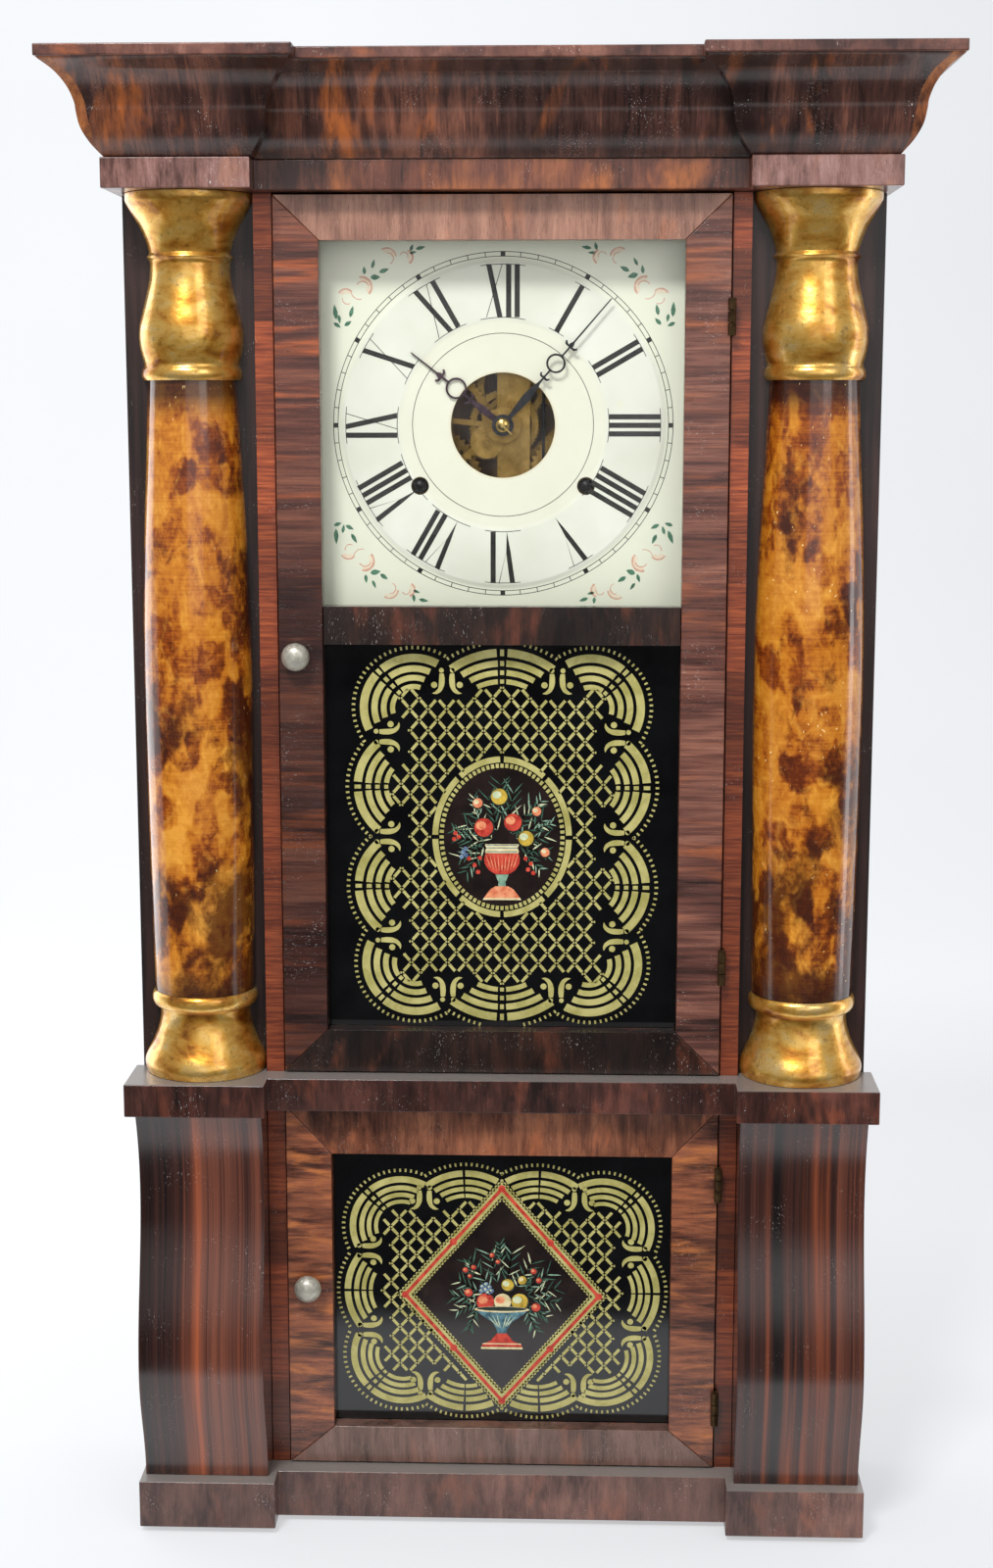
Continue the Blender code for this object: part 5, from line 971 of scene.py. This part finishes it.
class Picture:
    """Small painted shapes in millimetres from the picture's middle, gathered into one piece per colour."""

    def __init__(self, node, middle, seed):
        self.chance = random.Random(seed)
        self.colours = defaultdict(lambda: Flat(middle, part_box(node)[0].y, PICTURE_PAINT))

    def shape(self, colour, points, layers=3):
        self.colours[colour].add(points, layers=layers)

    def turned(self, colour, *profile, layers=3):
        """Symmetrical shape from (half width, height) points, bottom to top."""
        self.shape(colour, both_sides(profile), layers)

    def dots(self, colour, radius, layers, *places):
        for place in places:
            self.shape(colour, ring_points(place, radius, 20), layers)

    def fruits(self, colour, light, *fruits):
        """Round fruits as (across, up, radius), each with a shadow and a light side."""
        for u, v, radius in fruits:
            self.dots("shadow", radius + 0.5, 2, (u + 0.3, v - 0.3))
            self.dots(colour, radius, 3, (u, v))
            shine = radius * 0.55
            self.shape(light, ring_points((u - 0.28 * radius, v + 0.22 * radius), shine, 20, shine * 0.85), 4)

    def leaf(self, colour, base, angle, length, width, layers=2):
        swells = ((0, 0.1), (0.3, 1), (0.65, 0.8), (1, 0), (0.65, -0.5), (0.3, -0.8))
        self.shape(colour, leaf_points(base, angle, length, width, swells), layers)

    def sprays(self, *sprays):
        """Drooping stems as (across, up, angle, length), with five pairs of leaves each."""
        for u, v, angle, length in sprays:
            for share in (0.1, 0.3, 0.5, 0.7, 0.9):
                for side in (-1, 1):
                    colour = self.chance.choice(("green", "green", "sage", "pale"))
                    self.leaf(colour, moved((u, v), angle, length * share),
                              angle + side * self.chance.uniform(25, 55),
                              length * self.chance.uniform(0.32, 0.5), self.chance.uniform(0.7, 1.1))
            self.leaf("sage", (u, v), angle, length * 1.15, 0.7, 1)

    def finish(self, name, body):
        for colour, paint in self.colours.items():
            look = "tablet_ground" if colour == "ground" else f"painted_{colour}"
            piece(f"{name}_{look}", paint.mesh, look, body)


def upper_tablet():
    middle = (0.0, 0.4024)
    oval = (39.6, 46.4)

    def keep(u, v):
        return abs(v) < 109.5

    def beside_picture(u, v):
        return math.hypot(u / (oval[0] + 1.2), v / (oval[1] + 1.2)) >= 1

    fans = [((-49.6, 73.8), 30.6, 62, 206, True), ((-49.1, 28.7), 35.0, 130, 230, True),
            ((0.0, 56.4), 51.0, 54, 126, True)]
    meetings = junctions(74.5, (-57.3, 0.0, 57.3), 98.5, (-31.0, 31.0))
    work = Stencil("upper_tablet", middle, UPPER_BANDS, fans, meetings, keep, beside_picture, (53.5, 79.0),
                   (5.2, 6.1))
    splits = (90, 130, 180, 230, 270, 310, 360, 410, 450)
    for start, end in zip(splits, splits[1:]):
        work.inset((0, 0), *oval, 3.4, start + 1.6, end - 1.6, 14)
    for index, place in enumerate(ring_points((0, 0), 34.3, 80, 41.1)):
        work.bar(place, 4.5 * index, 2.4, 1.8)
    piece("upper_stencil", work.mesh, "stencil", "upper_door")

    art = Picture("upper_tablet", middle, 11)
    art.shape("ground", ring_points((0, 0), 33.0, 72, 39.8), 1)
    art.turned("orange", (10.4, -35.4), (9.2, -33.6), (6.6, -30.2), (3.6, -28.4))
    art.turned("cream", (10.9, -36.4), (10.4, -35.2), layers=4)
    art.turned("sage", (2.2, -28.4), (2.0, -26.0), (3.4, -22.6), (3.6, -21.4))
    art.turned("red", (3.4, -21.6), (7.6, -19.0), (9.8, -15.4), (10.2, -12.4), (9.2, -9.2))
    for index in range(-4, 5):
        art.leaf("orange", (index * 1.5, -20.5 + abs(index) * 0.4), 90 - index * 5, 10.6, 0.7, 4)
    art.turned("cream", (9.2, -9.4), (9.6, -8.0), (8.8, -6.2), (9.6, -4.6), (9.4, -4.0))
    for height in (-8.6, -6.4, -4.8):
        art.turned("teal", (8.8, height), (8.8, height + 0.5), layers=4)
    art.sprays((-4, -2, 150, 20), (-6, 0, 125, 18), (-2, 2, 105, 22), (2, 4, 78, 24), (4, 0, 55, 22),
               (6, -2, 35, 22), (8, -3, 12, 18), (-8, -3, 172, 18), (-9, -5, 205, 17), (-11, -8, 232, 16),
               (9, -5, -15, 17), (12, -8, -48, 15), (0, 12, 92, 20), (-12, 12, 110, 12), (14, 12, 48, 13),
               (-16, 2, 168, 12), (17, 4, 20, 12))
    art.fruits("red", "orange", (-10.4, 5.6, 5.4), (6.2, 8.6, 5.0))
    art.fruits("yellow", "pale", (-1.6, 23.4, 4.6), (13.6, -0.6, 4.4))
    art.fruits("orange", "cream", (-13.8, 19.6, 2.8), (19.6, 15.0, 2.6), (24.4, -8.6, 2.6))
    art.dots("red", 1.25, 4, (-26.4, 2.2), (-24.6, 0.0), (-27.2, -1.2), (-15.6, -16.2), (-12.6, -12.0),
             (-18.8, -12.4), (13.4, -12.2), (16.4, -15.2), (14.8, -18.6), (17.8, -20.6), (-13.6, -20.2))
    art.dots("blue", 1.3, 4, (-22.2, -8.6), (-20.4, -10.4), (-23.0, -11.4), (-20.8, -6.8))
    art.finish("upper_picture", "upper_door")


def lower_tablet():
    middle, drop = (0.0, 0.1309), 2.2
    half_width, half_height = 60.8, 70.2

    def beside_picture(u, v):
        return abs(u) / (half_width + 1.56) + abs(v + drop) / (half_height + 1.8) > 1

    def lozenge(margin, count=1):
        """Points round a lozenge that stands back from the frame's by a margin, from the lozenge's middle."""
        width, height = half_width - margin * 1.2, half_height - margin * 1.4
        tips = [(width, 0), (0, height), (-width, 0), (0, -height)]
        return [(u1 + (u2 - u1) * i / count, v1 + (v2 - v1) * i / count)
                for (u1, v1), (u2, v2) in zip(tips, tips[1:] + tips[:1]) for i in range(count)]

    fans = [((-58.5, 39.6), 30.6, 62, 206, True), ((-20.8, 34.8), 39.4, 56, 128, False),
            ((-54.1, -0.0), 38.4, 143, 217, False)]
    meetings = junctions(87.0, (-24.5, 24.5), 66.8, (-45.2, 45.2))
    work = Stencil("lower_tablet", middle, LOWER_BANDS, fans, meetings, beside_picture, beside_picture,
                   (67.2, 47.5), (5.0, 5.6))
    below = (middle[0], middle[1] - drop / 1000)
    frame_lines = Flat(below, work.face, STENCIL_PAINT, work.mesh)
    for margins in ((0.0, 2.6), (4.4, 7.4)):
        frame_lines.add(*[lozenge(margin) for margin in margins])
    for place in lozenge(7.4, 34) + lozenge(0.0, 38):
        frame_lines.add(ring_points(place, 1.0, 8))
    piece("lower_stencil", work.mesh, "stencil", "lower_door")

    art = Picture("lower_tablet", below, 23)
    art.colours["red"].add(lozenge(2.4), lozenge(4.6), layers=2.5)
    art.shape("ground", lozenge(7.0), 1)
    art.dots("red", 2.1, 4, *lozenge(3.4, 2))
    art.turned("cream", (12.2, -33.2), (12.2, -32.0))
    art.turned("red", (11.8, -31.8), (11.4, -30.0), (6.6, -28.2), (4.6, -25.6), (2.8, -23.4))
    art.turned("cream", (11.6, -30.2), (11.0, -29.6), layers=4)
    art.turned("teal", (2.6, -23.4), (3.2, -20.6), (5.8, -16.4), (12.6, -11.6), (14.6, -9.8))
    for index in (-3, -2, -1, 1, 2, 3):
        art.leaf("pale", (index * 0.7, -21.0 + abs(index) * 0.5), 90 - index * 14, 9.6, 0.6, 4)
    art.shape("cream", ring_points((0, -8.6), 16.2, 30, 1.9), 4)
    art.shape("shadow", ring_points((0, -8.2), 14.8, 30, 1.3), 5)
    art.sprays((-10, 0, 150, 18), (-6, 4, 125, 21), (-2, 6, 104, 22), (3, 6, 82, 22), (8, 4, 60, 20),
               (12, 2, 38, 20), (13, 0, 14, 20), (-14, -2, 175, 15), (-14, -4, 205, 14), (-15, -8, 252, 14),
               (15, -6, -32, 14), (15, -9, -68, 14), (17, -2, -8, 16), (-16, 12, 115, 10), (0, 20, 96, 12))
    for u, v in ((-9.6, 3.6), (-7.4, 5.0), (-11.4, 5.4), (-9.2, 6.6), (-6.2, 2.8), (-12.0, 2.8), (-8.0, 1.6)):
        art.dots("blue", 1.5, 3, (u, v))
        art.dots("pale", 0.6, 4, (u - 0.3, v + 0.4))
    art.fruits("red", "orange", (-9.6, -4.0, 5.2))
    art.fruits("cream", "orange", (0.4, -3.8, 5.0))
    art.fruits("yellow", "pale", (10.4, -3.6, 4.9), (3.4, 6.6, 3.6))
    art.fruits("yellow", "cream", (12.0, 9.6, 2.6))
    art.fruits("red", "orange", (-19.6, 1.6, 2.4), (20.0, -7.0, 2.6), (-21.4, 15.6, 1.6), (-16.6, 17.2, 1.5),
               (-18.8, 11.8, 1.3), (18.6, 15.2, 1.7), (21.6, 9.6, 1.6), (-5.8, 24.8, 1.4), (-2.4, 20.8, 1.3))
    art.finish("lower_picture", "lower_door")


upper_tablet()
lower_tablet()


# Hands: pierced steel with a ring, small crossbars and a spear tip, held by a brass collet and a taper pin
RAISED = 0.00004


def hand(node, angle, body, look, blade, ring_at, ring_outer, bars):
    """Blade is a list of (distance, half width) runs in millimetres; bars are (distance, reach) crossbars."""
    low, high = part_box(node)
    flat = Flat(DIAL_MIDDLE, high.y, high.y - low.y)
    raised = Flat(DIAL_MIDDLE, high.y, high.y - low.y + RAISED, flat.mesh)
    ring_width, boss, bore, drawn_reach = 1.15, 6.0, 3.0, 2.9
    bar = ((0.9, 0.1), (0.1, 1.0), (0.3, 1.9), (1.4, 2.7), (0.5, 3.2), (-1.0, 2.3), (-1.1, 1.1), (-1.0, 0.1))
    for run in blade:
        flat.add([on_dial(angle, across, distance) for distance, across in
                  run + [(distance, -half) for distance, half in reversed(run)]])
    centre = on_dial(angle, 0, ring_at)
    raised.add(ring_points(centre, ring_outer, 36), ring_points(centre, ring_outer - ring_width, 36))
    for distance, reach in bars:
        for side in (-1, 1):
            raised.add([on_dial(angle, side * across * reach / drawn_reach, distance + along)
                        for along, across in bar])
    raised.add(ring_points((0, 0), boss, 36), ring_points((0, 0), bore, 24))
    piece(f"{node}_pierced", flat.mesh, look, body, [node])


hand("minute_hand", 41.0, "minute_works", "steel",
     [[(4.2, 1.3), (9, 1.35), (14, 1.9), (20, 2.4), (25, 1.9), (31, 0.7), (34, 0.5), (39.9, 0.5)],
      [(49.7, 0.5), (56.0, 0.5), (58.0, 1.4), (60.0, 0.5), (90.6, 0.36), (91.6, 0.1)]],
     44.8, 5.4, [(35.0, 3.0), (57.2, 3.8)])
hand("hour_hand", 308.0, "hour_works", "blued",
     [[(4.2, 1.6), (9, 1.8), (14, 2.2), (19, 1.4), (22, 0.8), (27.3, 0.6)],
      [(38.5, 0.6), (42.4, 0.6), (44.6, 1.6), (46.8, 0.5), (63.8, 0.36), (64.8, 0.1)]],
     32.9, 5.9, [(23.4, 3.2), (43.8, 3.8)])
collet = [(0.0001, 0.0072), (0.0011, 0.0072), (0.0013, 0.0086), (0.0022, 0.0088), (0.0034, 0.0093),
          (0.0041, 0.0101), (0.0042, 0.0107), (0.0001, 0.0107)]
piece("hand_collet", lathe(collet, (0, 0, DIAL_MIDDLE[1]), 32, along="Y"), "bright_brass", "minute_works")
taper_pin = Flat(DIAL_MIDDLE, 0.0083, 0.0007)
taper_pin.bar((1.2, -1.4), -42, 10.4, 0.9)
piece("hand_taper_pin", taper_pin.mesh, "bright_brass", "minute_works", bevel=0.0001)


# Weight lines: a still run from drum to pulley, and a fall that hangs straight down from the pulley, with a
# mesh of its own
CORD_RADIUS = 0.0006
CORD_LINE = 0.0134


def tube(path, radius, sides=10):
    """Round tube that follows points in one upright plane."""
    made = bmesh.new()
    rings = []
    for before, point, after in zip(path[:1] + path, path, path[1:] + path[-1:]):
        across = (Vector(after) - Vector(before)).normalized().cross((0, 1, 0))
        rings.append([Vector(point) + radius * (Vector((0, y, 0)) + across * x)
                      for y, x in ring_points((0, 0), 1.0, sides)])
    bridged(made, rings, True, capped=True)
    return made


def cord_piece(name, path, replaced=()):
    """A taut line along its path."""
    line = piece(name, tube(path, CORD_RADIUS), "cord", "case", replaced)
    length = sum(math.dist(a, b) for a, b in zip(path, path[1:]))
    path[0]
    return line


def weight_lines():
    turn_steps, fall_steps = 24, 40
    for kind, side in (("time", 1), ("strike", -1)):
        wheel, drum = [Vector(low).lerp(high, 0.5)
                       for low, high in (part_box(f"{kind}_pulley"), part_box(f"{kind}_drum"))]
        drop = wheel.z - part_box(f"{kind}_cord")[0].z
        run = Vector((wheel.x - drum.x, wheel.z - drum.z)).normalized()
        normal = Vector((-run.y * side, run.x * side))
        path = [(drum.x + normal.x * CORD_LINE, wheel.y, drum.z + normal.y * CORD_LINE)]
        first, last = math.atan2(normal.y, normal.x), (0.0 if side > 0 else math.pi)
        for step in range(turn_steps + 1):
            angle = math.degrees(first + (last - first) * step / turn_steps)
            x, z = moved((wheel.x, wheel.z), angle, CORD_LINE)
            path.append((x, wheel.y, z))
        cord_piece(f"{kind}_line_run", path, [f"{kind}_cord"])
        fall = [(path[-1][0], wheel.y, wheel.z - drop * step / fall_steps) for step in range(fall_steps + 1)]
        hanging = cord_piece(f"{kind}_line_fall", fall)
        fall[0]
        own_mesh(hanging)


weight_lines()


# CAD nodes shown as they are
dress("case_side", "left_side", "right_side")
dress("pine", "backboard", "left_partition", "right_partition")
dress("pine_across", "bottom_board", "top_board", "seatboard")
dress("backing", "left_panel", "right_panel")
dress("turned_wood", "time_drum", "strike_drum", "time_pulley", "strike_pulley")
dress("brass", "front_plate", "back_plate", "time_great_wheel", "time_second_wheel", "minute_arbor",
      "hour_wheel", "motion_wheel", "third_wheel", "escape_wheel", "strike_great_wheel",
      "strike_second_wheel", "pendulum_bob")
dress("steel", "verge", "hammer", "pendulum_rod", "gong")
dress("iron", "time_weight", "strike_weight")
dress("pewter", "upper_knob", "lower_knob")
dress("tablet", "upper_tablet", "lower_tablet")
dress("clear", "dial_glass")
dress("dark_brass", *[f"{level}_door_{end}_hinge_{leaf}_leaf" for level in ("upper", "lower")
                      for end in ("top", "low") for leaf in ("fixed", "door")])


# Floor and backdrop in one sweep that glows a little, so that it stays pale and even
def sweep():
    """Mirror-like surfaces don't see the floor far ahead of the clock, which would grey them."""
    profile = [(-9.0, 0.0), (-2.6, 0.0), (0.6, 0.0), (1.3, 0.05), (1.9, 0.22), (2.4, 0.55), (2.75, 1.05),
               (2.9, 1.7), (2.95, 4.5)]
    made = bmesh.new()
    bridged(made, [[(x, y, z) for x in (-12, 12)] for y, z in smooth_through(profile, 12)], False)
    backdrop = smooth_object("backdrop", made)
    shader = Shader("backdrop", Emission_Color="F5F6F8", Specular_IOR_Level=0.1)
    tone = shader.spread(shader.noise(0.6, 2), 0.67, 0.69)
    glossy = shader.node("ShaderNodeLightPath").outputs["Is Glossy Ray"]
    unseen = shader.times(glossy, shader.between(shader.axis("Y"), -0.270, -0.295))
    # Painted shade: the glow is weaker towards the right and on the floor towards the front
    side = shader.between(shader.axis("X"), -0.4, 1.4, 0.0, -0.20)
    low = shader.between(shader.axis("Y"), 0.5, -0.1, 0.0, -0.12)
    glow = shader.weighed(0.0, (tone, 1), (side, 1), (low, 1))
    glow = shader.times(glow, shader.between(unseen, 0, 1, 1.0, 0.04))
    colour = shader.mix(unseen, "9C9EA0", "1C1C1E")
    backdrop.data.materials.append(shader.done(colour, 0.9, Emission_Strength=glow))


sweep()


def softbox(name, place, aim, width, height, power):
    lamp = bpy.data.lights.new(name, "AREA")
    lamp.shape = "RECTANGLE"
    lamp.size = width
    lamp.size_y = height
    lamp.energy = power
    holder = bpy.data.objects.new(name, lamp)
    holder.location = place
    holder.rotation_euler = (Vector(aim) - Vector(place)).to_track_quat("-Z", "Y").to_euler()
    scene.collection.objects.link(holder)


softbox("key", (-0.52, -1.48, 2.20), (0, 0, 0.5), 0.50, 0.40, 42)
softbox("fill", (1.05, -1.75, 1.45), (0, 0, 0.6), 0.8, 1.4, 7)
softbox("front", (0.20, -2.60, 0.92), (0.1, 0, 0.6), 1.6, 1.0, 3.2)
softbox("left_edge", (-1.15, 0.75, 0.60), (-0.2, 0, 0.5), 1.0, 1.7, 6)
softbox("right_edge", (1.30, 0.10, 0.60), (0.2, 0, 0.5), 0.25, 1.7, 3)


def room_light():
    """An even room that the camera sees at full strength and mirror-like surfaces see dimly."""
    world = bpy.data.worlds.new("studio")
    scene.world = world
    world.use_nodes = True
    tree = world.node_tree
    rays = tree.nodes.new("ShaderNodeLightPath")
    sky = tree.nodes["Background"]
    sky.inputs["Color"].default_value = (0.95, 0.97, 1.0, 1.0)
    mirror, strength = [tree.nodes.new("ShaderNodeMapRange") for _ in range(2)]
    mirror.inputs["To Min"].default_value = 0.75
    mirror.inputs["To Max"].default_value = 0.24
    tree.links.new(rays.outputs["Is Glossy Ray"], mirror.inputs["Value"])
    strength.inputs["To Max"].default_value = 1.0
    tree.links.new(rays.outputs["Is Camera Ray"], strength.inputs["Value"])
    tree.links.new(mirror.outputs[0], strength.inputs["To Min"])
    tree.links.new(strength.outputs[0], sky.inputs["Strength"])


room_light()
scene.view_settings.view_transform = "Standard"
